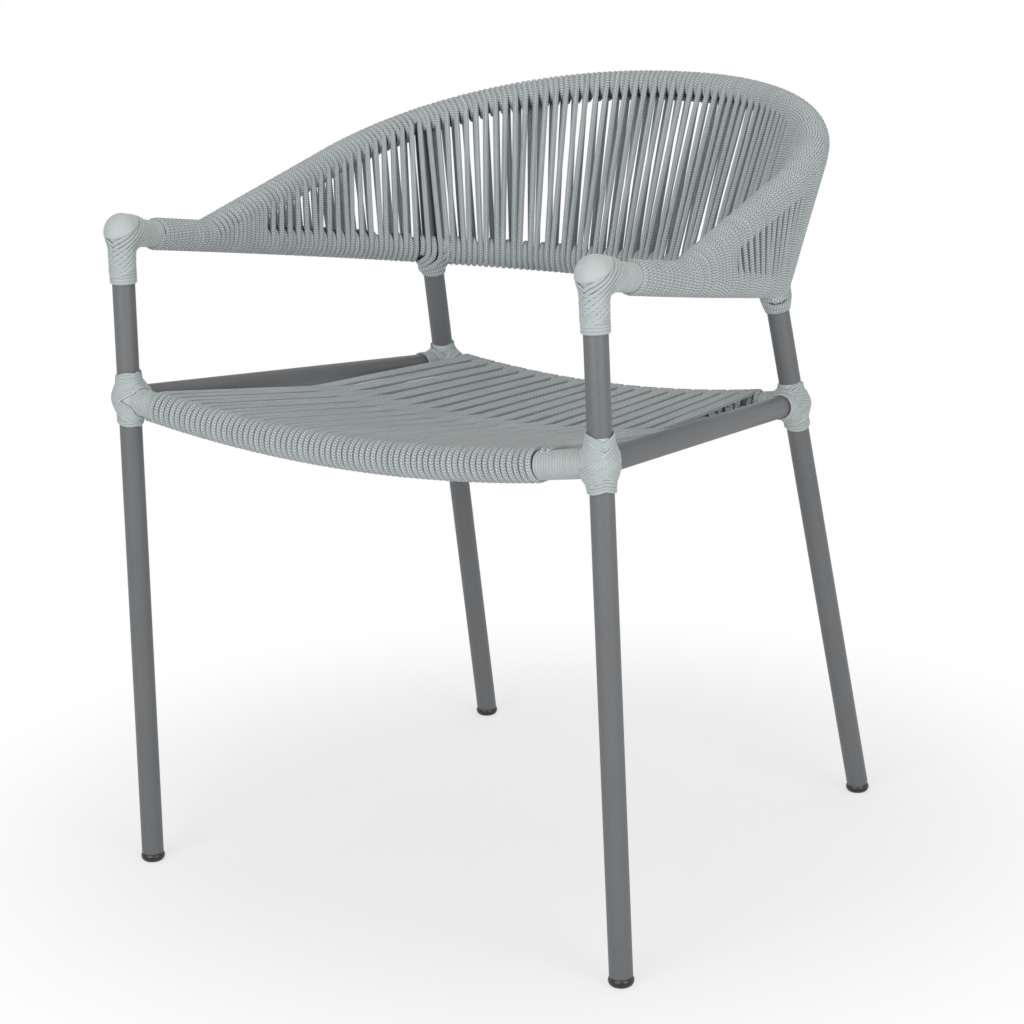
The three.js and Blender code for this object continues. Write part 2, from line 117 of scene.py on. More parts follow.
def smooth_line(points, cuts=16):
    """Centripetal spline through the points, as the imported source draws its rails."""
    knots = [2 * points[0] - points[1], *points, 2 * points[-1] - points[-2]]
    line = []
    for k in range(1, len(knots) - 2):
        p0, p1, p2, p3 = knots[k - 1:k + 3]
        d0, d1, d2 = (np.linalg.norm(b - a) ** 0.5 for a, b in ((p0, p1), (p1, p2), (p2, p3)))
        t1 = ((p1 - p0) / d0 - (p2 - p0) / (d0 + d1) + (p2 - p1) / d1) * d1
        t2 = ((p2 - p1) / d1 - (p3 - p1) / (d1 + d2) + (p3 - p2) / d2) * d1
        for j in range(cuts):
            t = j / cuts
            line.append(p1 + t1 * t + (3 * (p2 - p1) - 2 * t1 - t2) * t ** 2
                        + (2 * (p1 - p2) + t1 + t2) * t ** 3)
    return np.array(line + [knots[-2]])


def rail_from_plan(plan, height_at, first=None, steps=14):
    """A bent rail: along the left side, round behind the sitter, and back along the right side."""
    sides = ([first] if first else []) + list(plan["sides"])
    half = [np.array((x, y, height_at(y))) for x, y in sides]
    for i in range(steps + 1):
        angle = QUARTER * i / steps
        x = plan["span"] / 2 * max(0.0, math.cos(angle)) ** (2 / plan["power"])
        y = plan["straight"] + plan["back"] * math.sin(angle) ** (2 / plan["power"])
        half.append(np.array((x, y, height_at(y))))
    return Rail(smooth_line([p * FLIP_X for p in half] + half[:-1][::-1]))


def sagging_rail(joint, sag, steps=48):
    """A rail from the mirror image of a joint to the joint, lowest in the middle."""
    t = np.linspace(0, 1, steps + 1)[:, None]
    lowest = np.array((0.0, joint[1], joint[2] - 2 * sag))
    return Rail((1 - t) ** 2 * joint * FLIP_X + 2 * t * (1 - t) * lowest + t ** 2 * joint)


def on_line(start, end, height):
    return start + (end - start) * (height - start[2]) / (end[2] - start[2])


ARM_SLOPE = (ARM_BACK[1] - ELBOW[2]) / ARM_BACK[0]
ARM = rail_from_plan(ARM_PLAN, lambda y: ELBOW[2] + ARM_SLOPE * y)
ARM_JOIN = ARM.at_depth(TOP_JOIN_DEPTH)
JOIN = ARM.at(ARM_JOIN)
TOP_SLOPE = (TOP_BACK[1] - JOIN[2]) / (TOP_BACK[0] - JOIN[1])
TOP = rail_from_plan(TOP_PLAN, lambda y: JOIN[2] + TOP_SLOPE * (y - JOIN[1]), (-JOIN[0], JOIN[1]))
ARM_REAR_JOINT = ARM.at_depth(REAR_JOINT_DEPTH)
TOP_UPRIGHT = TOP.at_depth(UPRIGHT_TOP_DEPTH)
REAR_JOINT = ARM.at(ARM_REAR_JOINT) * FLIP_X
UPRIGHT_TOP = TOP.at(TOP_UPRIGHT) * FLIP_X
FRONT_SEAT_JOINT = on_line(FRONT_FOOT, ELBOW, SEAT_FRONT_HEIGHT)
REAR_SEAT_JOINT = on_line(REAR_FOOT, REAR_JOINT, SEAT_REAR_HEIGHT)
SEAT_FRONT = sagging_rail(FRONT_SEAT_JOINT, SEAT_FRONT_SAG)
SEAT_REAR = sagging_rail(REAR_SEAT_JOINT, SEAT_REAR_SAG)
FRONT_LEG = unit(ELBOW - FRONT_FOOT)
REAR_LEG = unit(REAR_JOINT - REAR_FOOT)
LEFT_UPRIGHT = (UPRIGHT_TOP - REAR_JOINT) * FLIP_X

# The origin is under the middle of the overall box, so Y moves by where the front glide stands
GLIDE_LOW, GLIDE_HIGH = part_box("front_glide_right")
DEPTH_SHIFT = (GLIDE_LOW.y + GLIDE_HIGH.y) / 2


def to_metres(points):
    placed = np.asarray(points, float) * MM
    placed[..., 1] += DEPTH_SHIFT
    return placed


# Settings
def linear(hex_colour):
    """An sRGB hex colour as linear values."""
    parts = (int(hex_colour[i:i + 2], 16) / 255 for i in (1, 3, 5))
    return tuple(c / 12.92 if c <= 0.04045 else ((c + 0.055) / 1.055) ** 2.4 for c in parts)


def colour_prop(label, about, hex_colour):
    return FloatVectorProperty(name=label, description=about, default=linear(hex_colour),
                               subtype="COLOR", min=0.0, max=1.0)


def length_prop(label, about, millimetres):
    return FloatProperty(name=label, description=about, default=millimetres * MM, unit="LENGTH", precision=4)


class ChairRopeSettings(bpy.types.PropertyGroup):
    """The braided rope that is wound on the rails"""
    wound_width: length_prop("Wound width", "Width of the rope where it lies on a rail", 6.0)
    wound_height: length_prop("Wound height", "Thickness of the rope where it lies on a rail", 5.0)
    free_width: length_prop("Free width", "Width of the rope between the rails", 6.0)
    pale: colour_prop("Yarn", "Colour of the yarn", "#C6CDCE")
    # The darker colour is painted shade: the rope's grooves between stitches take it in place of the shade
    # that falls there
    painted_groove_shade: colour_prop("Yarn in the grooves", "Colour between the stitches of the braid", "#6B7577")


class ChairLashingSettings(bpy.types.PropertyGroup):
    """The flat cord of the lashings"""
    width: length_prop("Cord width", "Width of the flat lashing cord", 3.3)
    height: length_prop("Cord height", "Thickness of the flat lashing cord", 1.7)
    pale: colour_prop("Yarn", "Colour of the cord", "#BCC4C3")
    # The darker colour is painted shade in the grooves between the cord's threads
    painted_groove_shade: colour_prop("Yarn in the grooves", "Colour between the threads of the cord", "#98A1A1")


class ChairFrameSettings(bpy.types.PropertyGroup):
    """The tubes and glides"""
    sides: IntProperty(name="Tube sides", description="Faces round a tube", default=48, min=12, max=96)
    paint: colour_prop("Paint", "Colour of the powder coat", "#636567")
    glide: colour_prop("Glide", "Colour of the moulded glides", "#1D1E20")


class ChairStageSettings(bpy.types.PropertyGroup):
    """Floor, light and camera"""
    focal: FloatProperty(name="Focal length", description="Camera lens", default=92.57, unit="CAMERA")
    floor: colour_prop("Floor", "Colour of the floor", "#F7F7F7")


# Materials
def add_node(tree, kind, inputs=None, **settings):
    """Adds one shader node, sets its settings, sets or links its inputs, and gives its outputs."""
    node = tree.nodes.new(f"ShaderNode{kind}")
    for key, value in settings.items():
        setattr(node, key, value)
    for key, value in (inputs or {}).items():
        if isinstance(value, bpy.types.NodeSocket):
            tree.links.new(value, node.inputs[key])
        else:
            node.inputs[key].default_value = value
    return node.outputs


def empty_tree(owner):
    owner.use_nodes = True
    owner.node_tree.nodes.clear()
    return owner.node_tree


def rgba(colour):
    return (*colour, 1.0)


def scale_of(size):
    """The scale of a noise whose spots are this many millimetres wide."""
    return 1 / (size * MM)


# A noise texture's values lie mostly between these
NOISE_RANGE = {"From Min": 0.3, "From Max": 0.7}
# Widths of the spots and waves of the noise textures, in millimetres
ROPE_DRIFT, CORD_DRIFT, PAINT_DRIFT = 111.11, 71.429, 71.429
FIBRE_WIDTH, GRIT_WIDTH, MOULDING_WAVE = 1.1111, 0.90909, 4.5455
# The share of a stitch and of a column that its groove takes on each side, and how high the groove between
# two columns still is
STITCH_GROOVE, COLUMN_GROOVE, COLUMN_GROOVE_HEIGHT = 0.30, 0.22, 0.45


def braid_height(tree, columns, stitch, slope):
    """Height of a braid: stitches that lean left and right in turn, in columns along the rope."""
    run = add_node(tree, "UVMap", uv_map="run")
    parts = add_node(tree, "SeparateXYZ", {0: run[0]})
    column = add_node(tree, "Math", {0: parts[1], 1: columns}, operation="MULTIPLY")
    fold = add_node(tree, "Math", {0: column[0], 1: 1.0}, operation="PINGPONG")
    lean = add_node(tree, "Math", {0: fold[0], 1: slope}, operation="MULTIPLY")
    turn = add_node(tree, "Math", {0: parts[0], 1: scale_of(stitch), 2: lean[0]}, operation="MULTIPLY_ADD")
    wave = add_node(tree, "Math", {0: turn[0], 1: 0.5}, operation="PINGPONG")
    across = add_node(tree, "MapRange", {"Value": wave[0], "From Max": STITCH_GROOVE},
                      interpolation_type="SMOOTHSTEP")
    edge = add_node(tree, "Math", {0: column[0], 1: 0.5}, operation="PINGPONG")
    beside = add_node(tree, "MapRange", {"Value": edge[0], "From Max": COLUMN_GROOVE,
                                         "To Min": COLUMN_GROOVE_HEIGHT}, interpolation_type="SMOOTHSTEP")
    height = add_node(tree, "Math", {0: across[0], 1: beside[0]}, operation="MULTIPLY")
    return height[0], parts[0]


def braided_yarn(tree, settings, columns, stitch, slope, drift):
    """The height of a braid, and its colour: darker in the grooves, which is painted shade, and drifting a
    little along the rope.
    Stitch is the spacing of the grooves and drift the length of the colour's waves, in millimetres."""
    height, along = braid_height(tree, columns, stitch, slope)
    # Painted shade: where the braid is low, the yarn's own colour goes over to the darker groove colour
    base = add_node(tree, "Mix", {"Factor": height, 6: rgba(settings.painted_groove_shade), 7: rgba(settings.pale)},
                    data_type="RGBA")
    waves = add_node(tree, "TexNoise", {"W": along, "Scale": scale_of(drift), "Detail": 3.0},
                     noise_dimensions="1D")
    tone = add_node(tree, "MapRange", {"Value": waves[0], **NOISE_RANGE, "To Min": 0.93, "To Max": 1.05})
    yarn = add_node(tree, "VectorMath", {0: base[2], "Scale": tone[0]}, operation="SCALE")
    return height, yarn[0]


def rope_material(tree):
    """Solid braided polyester rope: matt yarn, two visible columns of stitches 2.4 mm apart."""
    height, yarn = braided_yarn(tree, bpy.context.scene.chair_rope, columns=6, stitch=2.4, slope=0.75,
                                drift=ROPE_DRIFT)
    place = add_node(tree, "TexCoord")
    # Single fibres are far finer, and are drawn 1.1 mm wide so that they show
    fuzz = add_node(tree, "TexNoise", {"Vector": place["Object"], "Scale": scale_of(FIBRE_WIDTH),
                                       "Detail": 2.0})
    grain = add_node(tree, "MapRange", {"Value": fuzz[0], **NOISE_RANGE, "To Min": 0.93, "To Max": 1.07})
    shaded = add_node(tree, "VectorMath", {0: yarn, "Scale": grain[0]}, operation="SCALE")
    bump = add_node(tree, "Bump", {"Height": height, "Strength": 0.8, "Distance": 0.5 * MM})
    return {"Base Color": shaded[0], "Normal": bump[0], "Roughness": 0.78, "Sheen Weight": 0.25,
            "Sheen Roughness": 0.5}


def lashing_material(tree):
    """Flat braided lashing cord: finer yarn than the rope, with a slight sheen."""
    height, yarn = braided_yarn(tree, bpy.context.scene.chair_lashing, columns=4, stitch=1.6, slope=0.6,
                                drift=CORD_DRIFT)
    bump = add_node(tree, "Bump", {"Height": height, "Strength": 0.4, "Distance": 0.2 * MM})
    return {"Base Color": yarn, "Normal": bump[0], "Roughness": 0.6, "Sheen Weight": 0.3,
            "Sheen Roughness": 0.4}


def paint_material(tree):
    """Polyester powder coat on aluminium: satin grey with a fine speckle and a slight orange peel."""
    place = add_node(tree, "TexCoord")
    # The powder's grit is far finer, and is drawn 0.9 mm wide so that it shows
    speckle = add_node(tree, "TexNoise", {"Vector": place["Object"], "Scale": scale_of(GRIT_WIDTH),
                                          "Detail": 2.0, "Roughness": 0.6})
    drift = add_node(tree, "TexNoise", {"Vector": place["Object"], "Scale": scale_of(PAINT_DRIFT),
                                        "Detail": 2.0})
    grain = add_node(tree, "MapRange", {"Value": speckle[0], **NOISE_RANGE, "To Min": 0.86, "To Max": 1.14})
    slow = add_node(tree, "MapRange", {"Value": drift[0], **NOISE_RANGE, "To Min": 0.96, "To Max": 1.04})
    both = add_node(tree, "Math", {0: grain[0], 1: slow[0]}, operation="MULTIPLY")
    shaded = add_node(tree, "VectorMath", {0: bpy.context.scene.chair_frame.paint, "Scale": both[0]},
                      operation="SCALE")
    rough = add_node(tree, "MapRange", {"Value": speckle[0], **NOISE_RANGE, "To Min": 0.40, "To Max": 0.55})
    bump = add_node(tree, "Bump", {"Height": speckle[0], "Strength": 0.25, "Distance": 0.1 * MM})
    return {"Base Color": shaded[0], "Roughness": rough[0], "Normal": bump[0]}


def glide_material(tree):
    """Injection-moulded polyethylene: black, glossy, with faint moulding waves 4.5 mm wide."""
    place = add_node(tree, "TexCoord")
    wear = add_node(tree, "TexNoise", {"Vector": place["Object"], "Scale": scale_of(MOULDING_WAVE),
                                       "Detail": 3.0})
    rough = add_node(tree, "MapRange", {"Value": wear[0], **NOISE_RANGE, "To Min": 0.24, "To Max": 0.42})
    bump = add_node(tree, "Bump", {"Height": wear[0], "Strength": 0.1, "Distance": 0.2 * MM})
    return {"Base Color": rgba(bpy.context.scene.chair_frame.glide), "Roughness": rough[0], "Normal": bump[0]}


FINISHES = {
    "braided_polyester_rope": rope_material,
    "flat_polyester_cord": lashing_material,
    "grey_powder_coat": paint_material,
    "black_moulded_polyethylene": glide_material,
}


def finish_named(name):
    """A finish by its name. The first time, its shader is made, with what its own function gives it."""
    material = bpy.data.materials.get(name)
    if not material:
        material = bpy.data.materials.new(name)
        tree = empty_tree(material)
        shader = add_node(tree, "BsdfPrincipled", FINISHES[name](tree))
        add_node(tree, "OutputMaterial", {"Surface": shader[0]})
    return material


def dress(piece, material_name, slot, *nodes):
    """Gives a piece its finish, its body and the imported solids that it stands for."""
    piece.data.materials.clear()
    piece.data.materials.append(finish_named(material_name))
    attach(piece, BODY)
    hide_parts(*nodes)


# Rope sweeps
def full_turn(count):
    return TURN * np.arange(count) / count


class Strand:
    """One run of rope: centres, outward directions, widths, heights, and whether it closes. The start says
    where in the braid it begins, so that the stitches of neighbours don't line up."""

    def __init__(self, centres, outs, width, height, closed=False, start=0.0):
        self.centres = np.asarray(centres, float)
        self.outs = np.asarray(outs, float)
        count = len(self.centres)
        self.width = np.broadcast_to(np.asarray(width, float), (count,))
        self.height = np.broadcast_to(np.asarray(height, float), (count,))
        self.closed = closed
        self.start = start

    def mirrored(self):
        return Strand(self.centres * FLIP_X, self.outs * FLIP_X, self.width, self.height, self.closed,
                      self.start)

    def rings(self, sides):
        centres = self.centres
        if self.closed:
            before, after = np.roll(centres, 1, axis=0), np.roll(centres, -1, axis=0)
        else:
            before = np.vstack((centres[:1], centres[:-1]))
            after = np.vstack((centres[1:], centres[-1:]))
        run = unit(after - before)
        across = unit(np.cross(run, self.outs))
        out = np.cross(across, run)
        angle = full_turn(sides)[None, :, None]
        wide, high = (size[:, None, None] / 2 for size in (self.width, self.height))
        return centres[:, None] + np.cos(angle) * across[:, None] * wide + np.sin(angle) * out[:, None] * high


class Sleeve:
    """A snug layer under the cords, given as loops of points."""
    closed = False
    start = 0.0
    # Where in the braid's pattern it takes its colour: in the middle of a stitch
    smooth_place = (0.8 * MM, 0.125)

    def __init__(self, loops):
        loops = np.asarray(loops, float)
        self.centres = loops.mean(axis=1)
        start = loops[0, 0]
        facing = np.cross(loops[1, 0] - start, loops[0, 1] - start) @ (start - self.centres[0])
        self.loops = loops if facing > 0 else loops[:, ::-1]

    def mirrored(self):
        return Sleeve(self.loops * FLIP_X)

    def rings(self, sides):
        return self.loops


def sweep(name, strands, cord_sides):
    """One mesh of all the strands, with the rope's real run in its UV map."""
    vertices, faces, uvs = [], [], []
    base = 0
    for strand in strands:
        rings = strand.rings(cord_sides)
        count, sides = rings.shape[:2]
        centres = strand.centres
        steps = np.linalg.norm(np.diff(np.vstack((centres, centres[:1])), axis=0), axis=1)
        reach = strand.start + np.concatenate(([0.0], np.cumsum(steps)))
        vertices.append(rings.reshape(-1, 3))
        spans = count if strand.closed else count - 1
        i = np.repeat(np.arange(spans), sides)
        s = np.tile(np.arange(sides), spans)
        after, beside = (i + 1) % count, (s + 1) % sides
        quads = (i * sides + s, after * sides + s, after * sides + beside, i * sides + beside)
        faces.extend((base + np.stack(quads, axis=1)).tolist())
        u0, u1 = reach[i] * MM, reach[i + 1] * MM
        v0, v1 = s / sides, (s + 1) / sides
        if isinstance(strand, Sleeve):
            u0 = u1 = np.full(len(i), strand.smooth_place[0])
            v0 = v1 = np.full(len(i), strand.smooth_place[1])
        uvs.append(np.stack((u0, v0, u1, v0, u1, v1, u0, v1), axis=1).reshape(-1, 2))
        if not strand.closed:
            last = base + (count - 1) * sides
            faces.append([base + k for k in range(sides)])
            faces.append([last + k for k in range(sides)][::-1])
            ends = [(reach[0] * MM, k / sides) for k in range(sides)]
            ends += [(reach[count - 1] * MM, k / sides) for k in range(sides)][::-1]
            uvs.append(np.array(ends))
        base += count * sides
    mesh = bpy.data.meshes.new(name)
    mesh.from_pydata(to_metres(np.vstack(vertices)).tolist(), [], faces)
    layer = mesh.uv_layers.new(name="run")
    layer.data.foreach_set("uv", np.vstack(uvs).astype(np.float32).ravel())
    mesh.polygons.foreach_set("use_smooth", np.ones(len(mesh.polygons), bool))
    mesh.update()
    piece = bpy.data.objects.new(name, mesh)
    bpy.context.scene.collection.objects.link(piece)
    return piece


def rope_piece(name, strands, node, mirror=False, finish="braided_polyester_rope", cord_sides=8):
    """Sweeps a piece of rope or cord, or its mirror image, and dresses it."""
    if mirror:
        strands = [strand.mirrored() for strand in strands]
    dress(sweep(name, strands, cord_sides), finish, "rope", node)


def rope_sizes():
    settings = bpy.context.scene.chair_rope
    return settings.wound_width / MM, settings.wound_height / MM, settings.free_width / MM


def cord_sizes():
    settings = bpy.context.scene.chair_lashing
    return settings.width / MM, settings.height / MM


def path_radius():
    return TUBE_RADIUS + rope_sizes()[1] / 2


# A gap shorter than this has no free run. In a longer one the rope has its free width after this distance
SHORT_GAP, RUN_IN = 12.0, 5.0
# Where along a free run its step aside is drawn, and how far along the run the step spreads
ASIDE_MARKS, ASIDE_SPREAD = (0.3, 0.42, 0.5, 0.58, 0.7), 0.17


class Winder:
    """Collects the centres and outward directions of a rope as it is wound."""

    def __init__(self):
        self.centres, self.outs, self.free = [], [], []

    def add(self, centre, out, free=0.0):
        self.centres.append(centre)
        self.outs.append(out)
        self.free.append(free)

    def turn(self, rail, start, end, first, last, aim, side, steps, face=1, shift=0.0):
        """Round a rail from one angle to another. Angle 0 points at the aim, 90 degrees inwards.
        The face says which face of the rope lies outwards, so that it doesn't twist between rails.
        The shift moves the middle of the free run before this turn along X."""
        radius = path_radius()
        for j in range(steps + 1):
            t = j / steps
            length = start + (end - start) * t
            angle = first + (last - first) * t
            centre, run = rail.at(length), rail.along(length)
            zero = square_to(aim(length) - centre, run)
            out = math.cos(angle) * zero + math.sin(angle) * side * np.cross(run, zero)
            if j == 0 and self.centres:
                self.bridge(centre + radius * out, face * out, shift)
            self.add(centre + radius * out, face * out)

    def bridge(self, centre, out, shift):
        """The free run from the last point to a new one."""
        first, first_out = self.centres[-1], self.outs[-1]
        length = np.linalg.norm(centre - first)
        if length < SHORT_GAP:
            return
        ends = min(0.2, RUN_IN / length)
        for t in (ends, *(ASIDE_MARKS if shift else ()), 1 - ends):
            aside = shift * math.exp(-((t - 0.5) / ASIDE_SPREAD) ** 2) * np.array((1.0, 0.0, 0.0))
            self.add(first + (centre - first) * t + aside, unit(first_out + (out - first_out) * t), 1.0)

    def follow(self, skin, knots, lift):
        """On over a surface, through the knots."""
        line = skin.lift_to(smooth_line([self.centres[-1], *knots], 4)[1:], lift)
        for point, out in zip(line, skin.outward(line)):
            self.add(point, out)

    def join(self, other, order=1, skip=0):
        """Goes on with another rope's points, forwards or backwards."""
        self.centres += other.centres[::order][skip:]
        self.outs += other.outs[::order][skip:]
        self.free += other.free[::order][skip:]

    def strand(self, start=0.0, free_width=None):
        wide, high, thin = rope_sizes()
        thin = free_width or thin
        free = np.array(self.free)
        return Strand(self.centres, self.outs, wide + (thin - wide) * free, high + (thin - high) * free,
                      start=start)


# Surfaces under the cords
# How far the tubes of a surface reach from their joint, and how far out its rays look for it
REACH, RAY_REACH = 60.0, 30.0
CORD_LIFT, SLEEVE_LIFT = 1.4, 0.7
CORD_PITCH = 2.9
LASHING_BLEND, STRAP_BLEND = 9.0, 8.0


class Skin:
    """The rounded surface of tubes that meet, which lashing cords lie on."""

    def __init__(self, tubes, blend=LASHING_BLEND):
        self.tubes = tubes
        self.blend = blend

    def distance(self, points):
        total = None
        for start, end, radius in self.tubes:
            run = end - start
            t = np.clip((points - start) @ run / (run @ run), 0, 1)
            gap = np.linalg.norm(points - start - t[..., None] * run, axis=-1) - radius
            if total is None:
                total = gap
            else:
                near = np.maximum(self.blend - np.abs(total - gap), 0) / self.blend
                total = np.minimum(total, gap) - near ** 2 * self.blend / 4
        return total

    def outward(self, points, step=0.05):
        slopes = [self.distance(points + step * axis) - self.distance(points - step * axis)
                  for axis in np.eye(3)]
        return unit(np.stack(slopes, axis=-1))

    def lift_to(self, points, lift, rounds=4):
        for _ in range(rounds):
            points = points - (self.distance(points) - lift)[..., None] * self.outward(points)
        return points

    def loop(self, centre, directions, lift, reach=RAY_REACH):
        """Where rays from a centre leave the surface, at a height above it."""
        tries = np.arange(2.0, reach, 1.0)
        outside = self.distance(centre + tries[:, None, None] * directions) >= lift
        high = np.where(outside.any(axis=0), tries[np.argmax(outside, axis=0)], reach)
        low = high - 1.0
        for _ in range(8):
            middle = (low + high) / 2
            inside = self.distance(centre + middle[:, None] * directions) < lift
            low = np.where(inside, middle, low)
            high = np.where(inside, high, middle)
        return centre + low[:, None] * directions


def rear_skin(joint, leg, run, blend=LASHING_BLEND):
    """The surface where a rear leg comes up under the arm rail."""
    return Skin([(joint - REACH * leg, joint, TUBE_RADIUS),
                 (joint - REACH * run, joint + REACH * run, TUBE_RADIUS)], blend)


def ray_fan(first, second, count):
    """Directions all round, from the first by way of the second."""
    turn = full_turn(count)[:, None]
    return unit(np.cos(turn) * first + np.sin(turn) * second)


def cord(skin, points, lift, start, width=None, height=None):
    """One closed turn of flat cord on a surface."""
    usual_width, usual_height = cord_sizes()
    points = skin.lift_to(points, lift)
    return Strand(points, skin.outward(points), width or usual_width, height or usual_height, True, start)


def rings(skin, centre, axis, first, offsets, notch=0.0, width=None, reach=RAY_REACH, count=32):
    """Turns of cord side by side along a tube. The notch bends them up or down away from the first side."""
    second = unit(np.cross(axis, first))
    fan = ray_fan(unit(np.cross(second, axis)), second, count)
    bend = notch * np.abs(np.sin(full_turn(count)))[:, None] * axis
    return [cord(skin, skin.loop(centre + axis * offset, fan, CORD_LIFT, reach) + bend, CORD_LIFT, 60.0 * k,
                 width) for k, offset in enumerate(offsets)]


def hoops(rail, lengths, count=30):
    """Turns of cord side by side round a curved rail, over a snug layer."""
    turns, under = [], []
    for k, length in enumerate(lengths):
        centre, run = rail.at(length), rail.along(length)
        first = square_to(UP, run)
        fan = ray_fan(first, np.cross(run, first), count)
        under.append(centre + (TUBE_RADIUS + SLEEVE_LIFT) * fan)
        turns.append(Strand(centre + (TUBE_RADIUS + CORD_LIFT) * fan, fan, *cord_sizes(), True, 60.0 * k))
    return [Sleeve(under), *turns]


def sock(skin, centre, axis, first, rows=26, count=44, pole=0.03):
    """A layer round a joint, as far as the joint is seen from its centre, closed with a small face at each
    pole."""
    second = unit(np.cross(axis, first))
    fan = ray_fan(unit(np.cross(second, axis)), second, count)
    return Sleeve([skin.loop(centre, math.sin(polar) * fan - math.cos(polar) * axis, SLEEVE_LIFT)
                   for polar in np.linspace(pole, math.pi - pole, rows)])


# Frame operators
SMOOTH_ANGLE = math.radians(35)
EASED_EDGE = 0.7


def only(piece):
    bpy.ops.object.select_all(action="DESELECT")
    piece.select_set(True)
    bpy.context.view_layer.objects.active = piece


def settle(piece, name, matrix):
    """Puts a shaped piece in its place, with the place in its mesh."""
    piece.name = name
    piece.data.name = name
    only(piece)
    piece.matrix_world = matrix
    bpy.context.view_layer.update()
    bpy.ops.object.transform_apply(location=True, rotation=True, scale=True)
    bpy.ops.object.shade_smooth_by_angle(angle=SMOOTH_ANGLE)


def along_matrix(start, end):
    """A place at the start, with Z towards the end."""
    low, high = (Vector(to_metres(p)) for p in (start, end))
    return Matrix.Translation(low) @ (high - low).to_track_quat("Z", "Y").to_matrix().to_4x4()


def tube(name, start, end, radius):
    """A round tube between two points, its end edges eased."""
    length = np.linalg.norm(end - start) * MM
    bpy.ops.object.select_all(action="DESELECT")
    bpy.ops.mesh.primitive_cylinder_add(vertices=bpy.context.scene.chair_frame.sides, radius=radius * MM,
                                        depth=length, location=(0, 0, length / 2))
    piece = bpy.context.object
    bpy.ops.object.transform_apply(location=True, rotation=True, scale=True)
    bpy.ops.object.mode_set(mode="EDIT")
    bpy.ops.mesh.select_mode(type="EDGE")
    bpy.ops.mesh.select_all(action="DESELECT")
    bpy.ops.object.mode_set(mode="OBJECT")
    for edge in piece.data.edges:
        ends = [piece.data.vertices[v].co.z for v in edge.vertices]
        edge.select = abs(ends[0] - ends[1]) < MM
    bpy.ops.object.mode_set(mode="EDIT")
    bpy.ops.mesh.bevel(offset=EASED_EDGE * MM, segments=3, affect="EDGES")
    bpy.ops.object.mode_set(mode="OBJECT")
    settle(piece, name, along_matrix(start, end))
    return piece


class CHAIR_OT_tubes(bpy.types.Operator):
    """Makes the bare tubes round and paints every tube"""
    bl_idname = "chair.tubes"
    bl_label = "Frame tubes"

    def execute(self, context):
        # The uprights stop this far below the top rail's middle, inside it
        inside = 4 * unit(UPRIGHT_TOP - REAR_JOINT)
        for side, flip in SIDES:
            runs = (
                ("front_leg", FRONT_FOOT, ELBOW, TUBE_RADIUS),
                ("rear_leg", REAR_FOOT, REAR_JOINT, TUBE_RADIUS),
                ("seat_side_rail", FRONT_SEAT_JOINT, REAR_SEAT_JOINT, TUBE_RADIUS),
                ("back_upright", REAR_JOINT, UPRIGHT_TOP - inside, UPRIGHT_RADIUS),
            )
            for part, start, end, radius in runs:
                node = f"{part}_{side}"
                piece = tube(f"{part}_tube_{side}", start * flip, end * flip, radius)
                dress(piece, "grey_powder_coat", "frame_paint", node)
        for node in ("arm_rail", "top_rail", "seat_front_rail", "seat_rear_rail"):
            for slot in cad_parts[node].material_slots:
                slot.material = finish_named("grey_powder_coat")
        return {"FINISHED"}


# Radius and height of the glide's outline, from the middle of its sole to the middle of its top
GLIDE_PROFILE = ((0.0, 0.0), (8.0, 0.0), (9.4, 0.35), (10.6, 1.3), (11.6, 2.9), (12.1, 4.6), (12.0, 6.2),
                 (11.5, 7.6), (10.7, 8.6), (10.2, 9.4), (0.0, 9.4))
GLIDE_SIDES = 40


class CHAIR_OT_glides(bpy.types.Operator):
    """Turns the four moulded glides"""
    bl_idname = "chair.glides"
    bl_label = "Glides"

    def execute(self, context):
        for side, flip in SIDES:
            for end, foot in (("front", FRONT_FOOT), ("rear", REAR_FOOT)):
                node = f"{end}_glide_{side}"
                low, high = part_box(node)
                bpy.ops.object.select_all(action="DESELECT")
                bpy.ops.mesh.primitive_circle_add(vertices=GLIDE_SIDES, radius=GLIDE_PROFILE[1][0] * MM,
                                                  fill_type="NGON")
                piece = bpy.context.object
                bpy.ops.object.mode_set(mode="EDIT")
                for (r0, z0), (r1, z1) in zip(GLIDE_PROFILE[1:-2], GLIDE_PROFILE[2:-1]):
                    bpy.ops.mesh.extrude_region_move(TRANSFORM_OT_translate={"value": (0, 0, (z1 - z0) * MM)})
                    bpy.ops.transform.resize(value=(r1 / r0, r1 / r0, 1))
                bpy.ops.mesh.select_all(action="SELECT")
                bpy.ops.mesh.normals_make_consistent(inside=False)
                bpy.ops.object.mode_set(mode="OBJECT")
                place = Matrix.Translation((to_metres(foot * flip)[0], (low.y + high.y) / 2, 0.0))
                settle(piece, f"{end}_glide_cap_{side}", place)
                dress(piece, "black_moulded_polyethylene", "glide_plastic", node)
        return {"FINISHED"}


# Winding operators
# Steps that draw a short end, one face of a rail, half a turn, each turn more, a whole turn, and a turn and
# a half round the front of the seat
END_STEPS, FACE_STEPS, HALF_STEPS, MORE_STEPS, WHOLE_STEPS, LONG_STEPS = 3, 8, 10, 14, 18, 28
SEAT_GROUPS = 17
SEAT_FRONT_SPAN = (-233.0, 210.0)
SEAT_REAR_SPAN = (-188.0, 166.0)
SEAT_FREE_WIDTH = 5.7
# For each of the two ropes: its first turn on the front rail in rope widths, its turn on the rear rail in
# millimetres, and how far its runs step aside in the middle, on the way back and on the way forward
SEAT_LANES = ((0.5, 6.0, -1.5, -2.1), (2.5, 0.0, 1.9, 1.3))
# How much further the last run steps aside, towards its neighbour
LAST_ASIDE = 3.0
